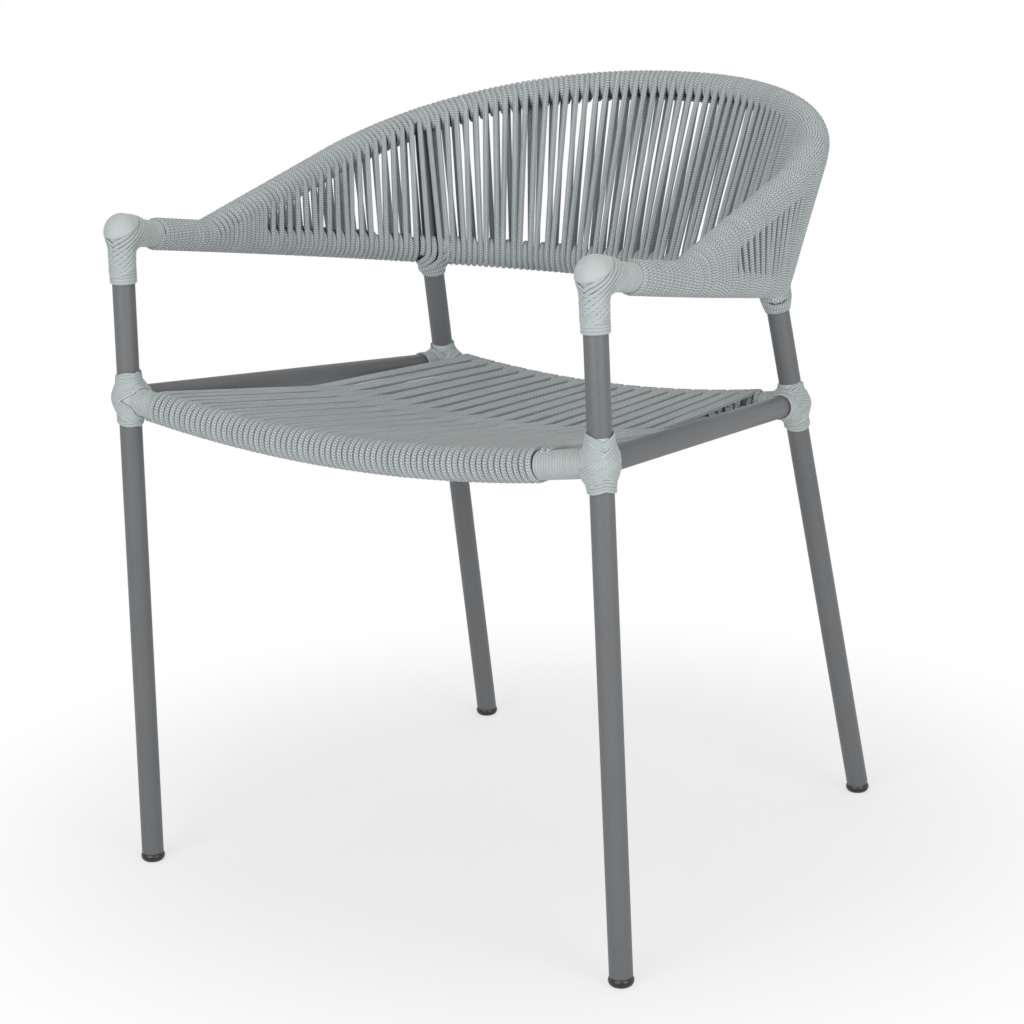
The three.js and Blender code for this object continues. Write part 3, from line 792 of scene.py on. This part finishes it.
# Each rope's start: its place in rope widths, how far it leans forward, its height over the rail's middle,
# the angle it turns through, and how far inwards it first meets the rear rail
START_PLACE, START_LEAN, START_HEIGHT, START_ANGLE, START_INWARDS = 2.1, 1.3, 9.0, 0.4, 2.0
# The angle that the last run turns through under the front rail
END_ANGLE = 0.5
# The first filler turn on the rear rail stands this share of a group inside the winding's end
FIRST_FILLER = 0.15


class CHAIR_OT_seat(bpy.types.Operator):
    """Winds the doubled rope of the seat as a figure of eight between its two rails"""
    bl_idname = "chair.seat"
    bl_label = "Seat rope"

    def execute(self, context):
        front = [SEAT_FRONT.at_side(x) for x in SEAT_FRONT_SPAN]
        rear = [SEAT_REAR.at_side(x) for x in SEAT_REAR_SPAN]
        front_step = (front[1] - front[0]) / SEAT_GROUPS
        rear_step = (rear[1] - rear[0]) / SEAT_GROUPS
        ratio = rear_step / front_step
        rope = front_step / 4
        wide = rope_sizes()[0]
        drop = math.asin(2 * path_radius() / (REAR_SEAT_JOINT[1] - FRONT_SEAT_JOINT[1]))
        near, far = QUARTER - drop, 3 * QUARTER + drop
        to_rear = lambda length: SEAT_REAR.at(rear[0] + (length - front[0]) * ratio)
        to_front = lambda length: SEAT_FRONT.at(front[0] + (length - rear[0]) / ratio)
        strands = []
        for first, beside, aside_back, aside_forward in SEAT_LANES:
            winder = Winder()
            # The rope comes out from under the lashing, on top of the front rail
            edge = front[1] + rope * (START_PLACE - first / 2)
            out = unit(UP + START_LEAN * FORWARD)
            winder.add(SEAT_FRONT.at(edge) + START_HEIGHT * out, out)
            winder.turn(SEAT_FRONT, edge, edge, near - TURN + START_ANGLE, near - TURN, to_rear, 1, END_STEPS)
            back = rear[1] + rear_step / 2 + beside - START_INWARDS
            winder.turn(SEAT_REAR, back, back - wide, near, far, to_front, 1, HALF_STEPS, -1, aside_back)
            for i in range(SEAT_GROUPS):
                # From right to left: one and a half turns on the front rail, half a turn on the rear one
                here = front[1] - i * front_step - rope * first
                back = rear[1] - (i + 0.5) * rear_step + beside
                winder.turn(SEAT_FRONT, here, here - 1.5 * rope, far, near - TURN, to_rear, 1, LONG_STEPS,
                            shift=aside_forward)
                winder.turn(SEAT_REAR, back, back - wide, near, far, to_front, 1, HALF_STEPS, -1, aside_back)
            # The last run ends under the front rail
            last = front[0] - rope * (first + 0.5) / 2
            winder.turn(SEAT_FRONT, last, last, far, far - END_ANGLE, to_rear, 1, END_STEPS,
                        shift=aside_forward + LAST_ASIDE)
            strands.append(winder.strand(start=170.0 * first, free_width=SEAT_FREE_WIDTH))
        # A filler turn on the rear rail between every two groups
        for i in range(SEAT_GROUPS + 1):
            winder = Winder()
            middle = rear[1] - max(i, FIRST_FILLER) * rear_step
            winder.turn(SEAT_REAR, middle + wide / 2, middle - wide / 2, 0, TURN, to_front, 1, WHOLE_STEPS)
            strands.append(winder.strand(start=110.0 * i))
        # Between the fillers the ropes cover the near face too
        for i in range(-1, SEAT_GROUPS):
            for part in (1 / 3, 2 / 3):
                winder = Winder()
                at = rear[1] - (i + part) * rear_step
                winder.turn(SEAT_REAR, at, at, -near, near, to_front, 1, FACE_STEPS)
                strands.append(winder.strand(start=90.0 * i))
        rope_piece("seat_winding", strands, "seat_weave")
        return {"FINISHED"}


# How far behind the elbow the arm's lashing ends and its rope starts
ARM_ROPE_START = 51.0
# Where the arm's rope ends and the back's side length starts
SIDE_START = ARM.at_depth(166.0)
# Lengths along the arm rail, and the lengths along the top rail that strands from there lead to
ARM_MARKS = (ARM_JOIN, 279.0, 348.0, 431.0)
TOP_MARKS = (0.0, 154.0, 228.0, 324.0)
# Where the first hole of the side lengths lies along the arm rail
FIRST_HOLE = 206.0
# Where the side lengths stop, before the leg and before the upright
LEG_ROOM, SIDE_TOP_ROOM = 15.5, 12.5
# Where the middle length begins and ends, from the middle of the upright and of the leg
MIDDLE_TOP_ROOMS = (14.5, 8.5)
MIDDLE_ARM_ROOMS = (15.5, 12.5)
SIDE_LOOPS = 19
MIDDLE_LOOPS = 48
# From this open loop of a side length on, every fourth has no second turn on the arm rail
FIRST_SINGLE, SINGLE_STEP = 6, 4
HALF_ARM = ARM.length / 2 - ARM_REAR_JOINT
HALF_TOP = TOP.length / 2 - TOP_UPRIGHT
# Ropes that go on down round the leg: place on the top rail, place on the arm rail, and the rest of the way
# as steps along the arm rail, inwards and up the leg
STRAPS = (
    (2.5, 7.0, ((4.5, 15, -8), (-1.5, 15, -15), (-8.5, 11, -19), (-13.0, 4, -21.5), (-13.0, -4, -22.5))),
    (-8.5, -7.0, ((-9.0, 15, -6), (-13.0, 13, -10.5), (-15.0, 6, -14), (-14.0, -4, -16))),
)
# Short ropes that come from under the upright: place on the arm rail, last angle, and the way round the leg
SHORT_STRAPS = (
    (-0.5, 1.5, ((-2.5, 15, -5.5), (-8.0, 14, -12), (-13.5, 9, -17), (-15.0, 1, -19.5), (-13.0, -6, -20.5))),
    (-13.5, 2.3, ()),
    (12.0, 2.0, ()),
)
# The angle at which a short rope leaves the upright, and how far a long one hugs the arm rail's face
SHORT_STRAP_ANGLE, HUG_ANGLE = 0.7, 0.2
TOP_STRAP_STEPS, HUG_STEPS, SHORT_STRAP_STEPS = 6, 2, 5
# Saddles over the top rail: their places from the upright, and the angle that each leaves open below
MIDDLE_SADDLE, SIDE_SADDLE, SADDLE_OPENING = 8.3, -3.0, 0.72


def top_for(arm_length):
    """Where a strand that leaves the arm rail's left half meets the top rail."""
    return float(np.interp(arm_length, ARM_MARKS, TOP_MARKS))


def arm_for(top_length):
    return float(np.interp(top_length, TOP_MARKS, ARM_MARKS))


def wind_both(arm_marks, top_marks, arm_extra, top_extra, aim_top, aim_arm):
    """Rope round both rails: down the inner face, under the arm rail, up the outer face, over the top.
    The extras say how many more turns each loop makes on a rail."""
    winder = Winder()
    before = top_marks[0] - (top_marks[1] - top_marks[0]) / (1 + top_extra[0]) / 2
    winder.turn(TOP, before, top_marks[0], 3 * QUARTER, QUARTER, aim_arm, -1, FACE_STEPS)
    for i, (more_arm, more_top) in enumerate(zip(arm_extra, top_extra)):
        a0, a1 = arm_marks[i:i + 2]
        t0, t1 = top_marks[i:i + 2]
        arm_rope = (a1 - a0) / (1 + more_arm)
        top_rope = (t1 - t0) / (1 + more_top)
        winder.turn(ARM, a0, a0 + (0.5 + more_arm) * arm_rope, QUARTER, 3 * QUARTER + TURN * more_arm,
                    aim_top, 1, FACE_STEPS + MORE_STEPS * more_arm)
        winder.turn(TOP, t1 - (0.5 + more_top) * top_rope, t1, 3 * QUARTER, QUARTER - TURN * more_top,
                    aim_arm, -1, FACE_STEPS + MORE_STEPS * more_top)
    return winder


def marks(start, end, extras):
    """Loop positions in proportion to how many rope widths each loop takes."""
    slots = np.concatenate(([0], np.cumsum([1 + e for e in extras])))
    return list(start + (end - start) * slots / slots[-1])


class CHAIR_OT_back(bpy.types.Operator):
    """Winds the back in three lengths between the top rail and the arm rail"""
    bl_idname = "chair.back"
    bl_label = "Back rope"

    def execute(self, context):
        middle_arm, middle_top = ARM.length / 2, TOP.length / 2
        arm_extra = [i % 2 for i in range(MIDDLE_LOOPS - 1)] + [0]
        top_extra = [1] * (MIDDLE_LOOPS - 1) + [0]
        ratio = HALF_TOP / HALF_ARM
        aim_top = lambda s: TOP.at(middle_top + (s - middle_arm) * ratio)
        aim_arm = lambda s: ARM.at(middle_arm + (s - middle_top) / ratio)
        arm_ends = (ARM_REAR_JOINT + MIDDLE_ARM_ROOMS[0], middle_arm + HALF_ARM - MIDDLE_ARM_ROOMS[1])
        top_ends = (TOP_UPRIGHT + MIDDLE_TOP_ROOMS[0], middle_top + HALF_TOP - MIDDLE_TOP_ROOMS[1])
        winder = wind_both(marks(*arm_ends, arm_extra), marks(*top_ends, top_extra),
                           arm_extra, top_extra, aim_top, aim_arm)
        middle = [winder.strand(), self.saddle(TOP_UPRIGHT + MIDDLE_SADDLE)]
        rope_piece("back_winding_middle", middle, "back_weave_middle")
        left = [self.side_strand(), self.saddle(TOP_UPRIGHT + SIDE_SADDLE), *self.straps()]
        for side in ("left", "right"):
            rope_piece(f"back_winding_{side}", left, f"back_weave_{side}", side == "right")
        return {"FINISHED"}

    def saddle(self, at):
        """A run of rope over the top rail, where the upright leaves no room for a turn."""
        winder = Winder()
        down = lambda s: TOP.at(s) - LEFT_UPRIGHT
        winder.turn(TOP, at, at, SADDLE_OPENING, TURN - SADDLE_OPENING, down, -1, MORE_STEPS)
        return winder.strand(start=50.0)

    def straps(self):
        """Ropes beside the upright: over the top rail, down both faces, and round the leg. Between them
        short runs come from under the upright."""
        joint, leg, run = ARM.at(ARM_REAR_JOINT), REAR_LEG * FLIP_X, ARM.along(ARM_REAR_JOINT)
        inward = unit(np.cross(run, leg))
        inward = inward if inward @ joint < 0 else -inward
        lift = rope_sizes()[1] / 2
        skin = rear_skin(joint, leg, run, STRAP_BLEND)
        knots = lambda way, face: [joint + a * run + face * b * inward + c * leg for a, b, c in way]
        strands = []
        for top_place, arm_place, way in STRAPS:
            top_at, arm_at = TOP_UPRIGHT + top_place, ARM_REAR_JOINT + arm_place
            halves = []
            for face, side in ((1, QUARTER), (-1, 3 * QUARTER)):
                winder = Winder()
                winder.turn(TOP, top_at, top_at, math.pi, side, lambda s: ARM.at(arm_at), -1,
                            TOP_STRAP_STEPS)
                winder.turn(ARM, arm_at, arm_at, side - HUG_ANGLE * face, side + HUG_ANGLE * face,
                            lambda s: TOP.at(top_at), 1, HUG_STEPS)
                winder.follow(skin, knots(way, face), lift)
                halves.append(winder)
            inner, outer = halves
            whole = Winder()
            whole.join(outer, -1)
            whole.join(inner, 1, 1)
            strands.append(whole.strand(start=30.0 * arm_place))
        for face in (1, -1):
            for arm_place, turned, way in SHORT_STRAPS:
                winder = Winder()
                arm_at = ARM_REAR_JOINT + arm_place
                first, last = SHORT_STRAP_ANGLE, turned
                if face == -1:
                    first, last = TURN - first, TURN - last
                winder.turn(ARM, arm_at, arm_at, first, last, lambda s: ARM.at(s) + LEFT_UPRIGHT, 1,
                            SHORT_STRAP_STEPS)
                if way:
                    winder.follow(skin, knots(way, face), lift)
                strands.append(winder.strand(start=25.0 * arm_place))
        return strands

    def side_strand(self):
        """The rope of one side length: closed loops first, then loops with holes between them."""
        closed_loops = round((FIRST_HOLE - SIDE_START) / rope_sizes()[0])
        top_extra = [0] * closed_loops + [1] * (SIDE_LOOPS - 1) + [0]
        arm_extra = list(top_extra)
        for i in range(closed_loops + FIRST_SINGLE, len(arm_extra), SINGLE_STEP):
            arm_extra[i] = 0
        closed = marks(SIDE_START, FIRST_HOLE, arm_extra[:closed_loops])
        opened = marks(FIRST_HOLE, ARM_REAR_JOINT - LEG_ROOM, arm_extra[closed_loops:])
        top_open = marks(top_for(FIRST_HOLE), TOP_UPRIGHT - SIDE_TOP_ROOM, top_extra[closed_loops:])
        arm_marks = closed[:-1] + opened
        top_marks = [top_for(m) for m in closed[:-1]] + top_open
        winder = wind_both(arm_marks, top_marks, arm_extra, top_extra,
                           lambda s: TOP.at(top_for(s)), lambda s: ARM.at(arm_for(s)))
        return winder.strand()


# How far the rope of the arm alone goes past the point where the top rail joins, and the steps of its turns
PAST_JOIN, ARM_TURN_STEPS = 8.0, 16


class CHAIR_OT_arms(bpy.types.Operator):
    """Wraps the arms, then the arm and the top rail together where they part"""
    bl_idname = "chair.arms"
    bl_label = "Arm rope"

    def execute(self, context):
        wide = rope_sizes()[0]
        join = ARM_JOIN + PAST_JOIN
        winder = Winder()
        turns = round((join - ARM_ROPE_START) / wide)
        winder.turn(ARM, ARM_ROPE_START, join, QUARTER, QUARTER + TURN * turns, lambda s: ARM.at(s) + UP, 1,
                    ARM_TURN_STEPS * turns)
        loops = [0] * round((SIDE_START - join) / wide)
        arm_marks = marks(join, SIDE_START, loops)
        winder.join(wind_both(arm_marks, [top_for(m) for m in arm_marks], loops, loops,
                              lambda s: TOP.at(top_for(s)) + UP, lambda s: ARM.at(arm_for(s)) - UP))
        for side in ("left", "right"):
            rope_piece(f"arm_winding_{side}", [winder.strand()], f"arm_wrap_{side}", side == "right")
        return {"FINISHED"}


# Lashing operators
# Tubes that the elbow's cords lie on: their ends, as steps along the arm and up the leg, and their radius
ELBOW_TUBES = (
    ((0.0, -REACH), (0.0, -5.0), TUBE_RADIUS),
    ((3.0, 0.0), (REACH, 0.0), TUBE_RADIUS),
    ((1.0, 3.0), (16.0, 2.0), TUBE_RADIUS + 1.0),
)
# How far the elbow's lashing goes down the leg, and where its plain turns end there and start on the arm
ELBOW_DROP, LEG_TURNS_END, ARM_TURNS_START = 47.0, 13.0, 14.0
# The layer under the elbow's cords turns round its inner corner with this radius
INNER_CORNER = 14.0
# Slanting turns over the elbow: how many, their pitch along the leg, where the first one starts, how steep
# they are, and the lift, width and thickness of the cord
SLANT_TURNS, SLANT_PITCH, SLANT_START, SLANT_STEEPNESS = 8, 5.3, -44.0, 0.98
SLANT_LIFT, SLANT_WIDTH, SLANT_HEIGHT = 2.0, 3.9, 1.2
# In front they dip in a V: how deep, and how wide
SLANT_DIP, DIP_WIDTH = 4.0, 4.0
# The cap: its centre behind the elbow, how far its axis leans forward, and its loops as angle and lift
CAP_BEHIND, CAP_LEAN = 4.0, 0.6
CAP_LOOPS = [(1.35, -2.0)] + [(angle, SLANT_LIFT + 0.85) for angle in np.linspace(1.25, 0.03, 12)]
# Plain turns above and below a seat joint, as places up the leg
TURNS_ABOVE = (10.0, 12.7, 15.4, 18.0)
TURNS_BELOW, NOTCH_BELOW = (-11.0, -13.8, -16.6, -19.4, -22.0), -3.5
# How far out the rays look for the surface, for plain and for crossed turns
PLAIN_REACH, CROSSED_REACH = 16.5, 22.0
# The closed layer of a seat joint: how far it goes along the leg and along the rails
SOCK_LEG, SOCK_RAIL = 20.0, 14.0
# Crossed turns of a seat joint: how many each way, and their pitch
CROSSED_TURNS, CROSSED_PITCH = 7, 3.1
# The middle turns lie highest, and one way over the other: the lowest lift, and what a turn and a way add
CROSSED_LIFT, LIFT_BY_TURN, LIFT_BY_WAY = CORD_LIFT + 0.5, 0.22, 0.11
# Width of the cord at a seat joint, and its thickness in the crossed turns
JOINT_WIDTH, CROSSED_HEIGHT = 2.9, 1.3
JOINT_POINTS = 52
# How far the crossed turns lean up or down, by the angle from the joint's outer corner
LEAN_ANGLES = np.radians((0, 45, 90, 135, 160, 180))
LEANS = (0.0, 0.52, 0.95, 1.3, 1.1, 0.0)
# At the front and rear joints, the notch in the turns above, and how steep the crossed turns are
FRONT_BEND, REAR_BEND = (7.5, 1.0), (3.5, 0.55)
# Where the turns of cord along the rails start, and how far they go from each joint, up to the seat rope
LASHING_START = 12.6
FRONT_LASHING = {"right": 64.0, "left": 41.0}
REAR_LASHING = {"right": 39.0, "left": 27.0}
SIDE_LASHING = 36.0


def bent_sleeve(skin, corner, arm, leg, outward):
    """A snug layer up the leg, round the corner and along the arm, turning about the inner corner."""
    hinge = corner + INNER_CORNER * (arm - leg)
    places = [(corner - leg * (ELBOW_DROP + (INNER_CORNER - ELBOW_DROP) * t), -arm)
              for t in np.linspace(0, 1, 8)]
    for angle in np.linspace(0, QUARTER, 12)[1:-1]:
        away = -math.cos(angle) * arm + math.sin(angle) * leg
        places.append((hinge + away * INNER_CORNER, unit(away)))
    places += [(corner + arm * (INNER_CORNER + (ARM_ROPE_START - INNER_CORNER) * t), leg)
               for t in np.linspace(0, 1, 8)]
    return Sleeve([skin.loop(centre, ray_fan(first, outward, 40), SLEEVE_LIFT) for centre, first in places])


def elbow_cords():
    """The right elbow: plain turns on the leg and the arm, slanting turns between them, and a smooth cap."""
    leg, arm = FRONT_LEG, ARM.along(1.0) * FLIP_X
    outward = unit(np.cross(arm, leg))
    skin = Skin([(ELBOW + a * arm + b * leg, ELBOW + c * arm + d * leg, radius)
                 for (a, b), (c, d), radius in ELBOW_TUBES])
    strands = [bent_sleeve(skin, ELBOW, arm, leg, outward)]
    strands += rings(skin, ELBOW, leg, outward, np.arange(-ELBOW_DROP, -LEG_TURNS_END, CORD_PITCH))
    strands += rings(skin, ELBOW, arm, outward, np.arange(ARM_TURNS_START, ARM_ROPE_START + 1.0, CORD_PITCH))
    fan = ray_fan(unit(arm + leg), outward, 40)
    for k in range(SLANT_TURNS):
        level = SLANT_START + SLANT_PITCH * k + TUBE_RADIUS + CORD_LIFT
        loop = skin.loop(ELBOW + (leg - arm) * level / 2 * SLANT_STEEPNESS, fan, SLANT_LIFT)
        aside = np.abs((loop - ELBOW) @ outward)
        in_front = (loop - ELBOW) @ arm < 0
        dip = np.where(in_front, SLANT_DIP * np.exp(-aside / DIP_WIDTH), 0.0)
        strands.append(cord(skin, loop - dip[:, None] * leg, SLANT_LIFT, 90.0 * k, SLANT_WIDTH, SLANT_HEIGHT))
    knob = unit(leg - CAP_LEAN * arm)
    around = ray_fan(square_to(arm, knob), outward, 32)
    strands.append(Sleeve([skin.loop(ELBOW + CAP_BEHIND * arm,
                                     math.sin(angle) * around + math.cos(angle) * knob, lift)
                           for angle, lift in CAP_LOOPS]))
    return strands


def joint_cords(joint, leg, rail, other, notch_above, steepness):
    """Crossed turns round a leg where two rails meet it, over a closed layer."""
    def joined(leg_reach, rail_reach):
        return Skin([(joint - leg_reach * leg, joint + leg_reach * leg, TUBE_RADIUS),
                     (joint, joint + rail_reach * rail, TUBE_RADIUS),
                     (joint, joint + rail_reach * other, TUBE_RADIUS)])

    skin = joined(REACH, REACH)
    corner = square_to(-rail - other, leg)
    strands = [sock(joined(SOCK_LEG, SOCK_RAIL), joint, leg, corner)]
    for offsets, notch in ((TURNS_ABOVE, notch_above), (TURNS_BELOW, NOTCH_BELOW)):
        strands += rings(skin, joint, leg, corner, offsets, notch, JOINT_WIDTH, PLAIN_REACH)
    fan = ray_fan(corner, np.cross(leg, corner), JOINT_POINTS)
    turn = full_turn(JOINT_POINTS)
    turn = np.where(turn > math.pi, turn - TURN, turn)
    lean = steepness * np.interp(np.abs(turn), LEAN_ANGLES, LEANS) * np.sign(turn)
    middle = (CROSSED_TURNS - 1) / 2
    for way in (1, -1):
        rays = unit(fan + way * lean[:, None] * leg)
        for k in range(CROSSED_TURNS):
            place = k - middle
            lift = CROSSED_LIFT + LIFT_BY_TURN * (middle - abs(place)) + LIFT_BY_WAY * (way > 0)
            loop = skin.loop(joint + place * CROSSED_PITCH * leg, rays, lift, CROSSED_REACH)
            strands.append(cord(skin, loop, lift, 80.0 * k, JOINT_WIDTH, CROSSED_HEIGHT))
    return strands


class CHAIR_OT_lashings(bpy.types.Operator):
    """Lashes the two elbows and the four seat joints with flat cord"""
    bl_idname = "chair.lashings"
    bl_label = "Lashings"

    def execute(self, context):
        elbow = elbow_cords()
        side_rail = unit(REAR_SEAT_JOINT - FRONT_SEAT_JOINT)
        front_rail = -SEAT_FRONT.along(SEAT_FRONT.length)
        rear_rail = -SEAT_REAR.along(SEAT_REAR.length)
        front = joint_cords(FRONT_SEAT_JOINT, FRONT_LEG, front_rail, side_rail, *FRONT_BEND)
        rear = joint_cords(REAR_SEAT_JOINT, REAR_LEG, -side_rail, rear_rail, *REAR_BEND)
        rear += hoops(Rail([REAR_SEAT_JOINT, FRONT_SEAT_JOINT]), self.places(SIDE_LASHING))
        for side, _ in SIDES:
            front_turns = hoops(SEAT_FRONT, SEAT_FRONT.length - self.places(FRONT_LASHING[side]))
            rear_turns = hoops(SEAT_REAR, SEAT_REAR.length - self.places(REAR_LASHING[side]))
            for name, cords, node in (("elbow_cords", elbow, "elbow_lashing"),
                                      ("front_joint_cords", front + front_turns, "front_seat_lashing"),
                                      ("rear_joint_cords", rear + rear_turns, "rear_seat_lashing")):
                rope_piece(f"{name}_{side}", cords, f"{node}_{side}", side == "left",
                           "flat_polyester_cord", 6)
        return {"FINISHED"}

    def places(self, end):
        """Where the turns along a rail lie, from its joint."""
        return np.arange(LASHING_START, end, CORD_PITCH)


# Turns round the leg below the arm rail: how far below its middle, how steep, and how thick
COLLAR_TURNS = ((-28.5, -0.25, 2.2), (-24.5, -0.35, 3.4), (-20.0, -0.55, 4.4), (-16.0, -0.85, 5.0))
COLLAR_SHIFT = {"right": -1.5, "left": 3.5}


class CHAIR_OT_collars(bpy.types.Operator):
    """Turns of rope round the rear legs, just under the arm rail"""
    bl_idname = "chair.collars"
    bl_label = "Leg collars"

    def execute(self, context):
        leg, run = REAR_LEG, -ARM.along(ARM_REAR_JOINT) * FLIP_X
        skin = rear_skin(REAR_JOINT, leg, run)
        fan = ray_fan(run, square_to(np.cross(leg, run), leg), 36)
        for side, _ in SIDES:
            strands = []
            for k, (drop, tilt, high) in enumerate(COLLAR_TURNS):
                rays = unit(fan + tilt * (fan @ run)[:, None] * leg)
                centre = REAR_JOINT + leg * (drop + COLLAR_SHIFT[side])
                loop = skin.lift_to(skin.loop(centre, rays, high / 2, CROSSED_REACH), high / 2)
                strands.append(Strand(loop, skin.outward(loop), rope_sizes()[0], high, True, 90.0 * k))
            rope_piece(f"leg_collar_{side}", strands, f"rear_collar_{side}", side == "left")
        return {"FINISHED"}


# Stage operator
CAMERA_PLACE = (1463.90, -1824.98, 1034.33)
CAMERA_YAW, CAMERA_PITCH, CAMERA_ROLL = 0.61407, 0.26560, -0.029666
# Name, place, what it points at, size, power and colour of each lamp
LAMPS = (
    ("front_panel", (0.2, -3.6, 1.5), (0, 0, 0.5), 2.4, 64.0, "#FBFDFF"),
    ("side_panel", (3.6, -1.2, 1.4), (0, 0, 0.45), 2.2, 56.0, "#FFFFFF"),
    ("top_panel", (0.0, 0.4, 3.2), (0, 0, 0.4), 2.0, 16.0, "#FFF8F0"),
)
WHITE = {"Color": (1, 1, 1, 1), "Strength": 1.0}
SOFT_WHITE = {"Color": (1, 1, 1, 1), "Strength": 0.36}
FLOOR_SIZE = 14.0
# Distances from the chair's middle between which the floor fades to white, and how white it is at the first
FLOOR_FADE = {"From Min": 0.3, "From Max": 0.75, "To Min": 0.62}


def camera_matrix():
    ahead = Vector((-math.sin(CAMERA_YAW), math.cos(CAMERA_YAW), 0))
    right = Vector((math.cos(CAMERA_YAW), math.sin(CAMERA_YAW), 0))
    up = Vector((0, 0, 1))
    view = ahead * math.cos(CAMERA_PITCH) - up * math.sin(CAMERA_PITCH)
    above = up * math.cos(CAMERA_PITCH) + ahead * math.sin(CAMERA_PITCH)
    turned = right * math.cos(CAMERA_ROLL) + above * math.sin(CAMERA_ROLL)
    above = above * math.cos(CAMERA_ROLL) - right * math.sin(CAMERA_ROLL)
    axes = Matrix((turned, above, -view)).transposed().to_4x4()
    return Matrix.Translation(Vector(to_metres(CAMERA_PLACE))) @ axes


class CHAIR_OT_stage(bpy.types.Operator):
    """Sets the floor, the soft light and the camera"""
    bl_idname = "chair.stage"
    bl_label = "Floor, light and camera"

    def execute(self, context):
        scene = context.scene
        bpy.ops.object.select_all(action="DESELECT")
        bpy.ops.mesh.primitive_plane_add(size=FLOOR_SIZE, location=(0, 0, 0))
        floor = context.object
        floor.name = "studio_floor"
        floor.data.materials.append(self.floor_material())
        self.world()
        for lamp in LAMPS:
            self.lamp(*lamp)
        camera = bpy.data.objects.new("photo_camera", bpy.data.cameras.new("photo_camera"))
        scene.collection.objects.link(camera)
        camera.data.sensor_width = 36.0
        camera.data.lens = scene.chair_stage.focal
        camera.data.clip_end = 60.0
        camera.matrix_world = camera_matrix()
        scene.camera = camera
        scene.view_settings.view_transform = "Standard"
        return {"FINISHED"}

    def lamp(self, name, place, target, size, power, colour):
        data = bpy.data.lights.new(name, "AREA")
        data.color = linear(colour)
        data.size = size
        data.energy = power
        lamp = bpy.data.objects.new(name, data)
        bpy.context.scene.collection.objects.link(lamp)
        lamp.location = place
        lamp.rotation_euler = (Vector(target) - Vector(place)).to_track_quat("-Z", "Y").to_euler()

    def world(self):
        """Soft light all round, which is seen as white."""
        world = bpy.data.worlds.new("studio_light")
        bpy.context.scene.world = world
        tree = empty_tree(world)
        soft = add_node(tree, "Background", SOFT_WHITE)
        white = add_node(tree, "Background", WHITE)
        mix = add_node(tree, "MixShader", {0: self.seen_directly(tree), 1: soft[0], 2: white[0]})
        add_node(tree, "OutputWorld", {"Surface": mix[0]})

    def seen_directly(self, tree):
        """Tells what the camera, a gloss or a clear surface sees from what lights the chair."""
        path = add_node(tree, "LightPath")
        first = add_node(tree, "Math", {0: path["Is Camera Ray"], 1: path["Is Glossy Ray"]},
                         operation="MAXIMUM")
        both = add_node(tree, "Math", {0: first[0], 1: path["Is Transmission Ray"]}, operation="MAXIMUM")
        return both[0]

    def floor_material(self):
        """Matt paper sweep: pale, and brighter away from the chair, so that it ends in white."""
        material = bpy.data.materials.new("matt_paper_sweep")
        tree = empty_tree(material)
        paper = add_node(tree, "BsdfPrincipled", {"Base Color": rgba(bpy.context.scene.chair_stage.floor),
                                                  "Roughness": 0.95, "Specular IOR Level": 0.0})
        place = add_node(tree, "TexCoord")
        far = add_node(tree, "VectorMath", {0: place["Object"]}, operation="LENGTH")
        fade = add_node(tree, "MapRange", {"Value": far["Value"], **FLOOR_FADE},
                        interpolation_type="SMOOTHSTEP")
        amount = add_node(tree, "Math", {0: fade[0], 1: self.seen_directly(tree)}, operation="MULTIPLY")
        white = add_node(tree, "Emission", WHITE)
        mix = add_node(tree, "MixShader", {0: amount[0], 1: paper[0], 2: white[0]})
        add_node(tree, "OutputMaterial", {"Surface": mix[0]})
        return material


# Add-on
OPERATORS = (CHAIR_OT_stage, CHAIR_OT_tubes, CHAIR_OT_glides, CHAIR_OT_seat, CHAIR_OT_back, CHAIR_OT_arms,
             CHAIR_OT_lashings, CHAIR_OT_collars)
SETTINGS = (("chair_rope", ChairRopeSettings), ("chair_lashing", ChairLashingSettings),
            ("chair_frame", ChairFrameSettings), ("chair_stage", ChairStageSettings))


class CHAIR_PT_panel(bpy.types.Panel):
    """Lists the chair's pieces and settings"""
    bl_label = "Rope chair"
    bl_idname = "CHAIR_PT_panel"
    bl_space_type = "VIEW_3D"
    bl_region_type = "UI"
    bl_category = "Rope chair"

    def draw(self, context):
        for attribute, group in SETTINGS:
            box = self.layout.box()
            for name in group.__annotations__:
                box.prop(getattr(context.scene, attribute), name)
        for operator in OPERATORS:
            self.layout.operator(operator.bl_idname)


def register():
    for attribute, group in SETTINGS:
        bpy.utils.register_class(group)
        setattr(bpy.types.Scene, attribute, PointerProperty(type=group))
    for item in (*OPERATORS, CHAIR_PT_panel):
        bpy.utils.register_class(item)


def unregister():
    for item in (CHAIR_PT_panel, *reversed(OPERATORS)):
        bpy.utils.unregister_class(item)
    for attribute, group in reversed(SETTINGS):
        delattr(bpy.types.Scene, attribute)
        bpy.utils.unregister_class(group)


def main():
    register()
    bpy.ops.chair.stage()
    bpy.ops.chair.tubes()
    bpy.ops.chair.glides()
    bpy.ops.chair.seat()
    bpy.ops.chair.back()
    bpy.ops.chair.arms()
    bpy.ops.chair.lashings()
    bpy.ops.chair.collars()


if __name__ == "__main__":
    main()
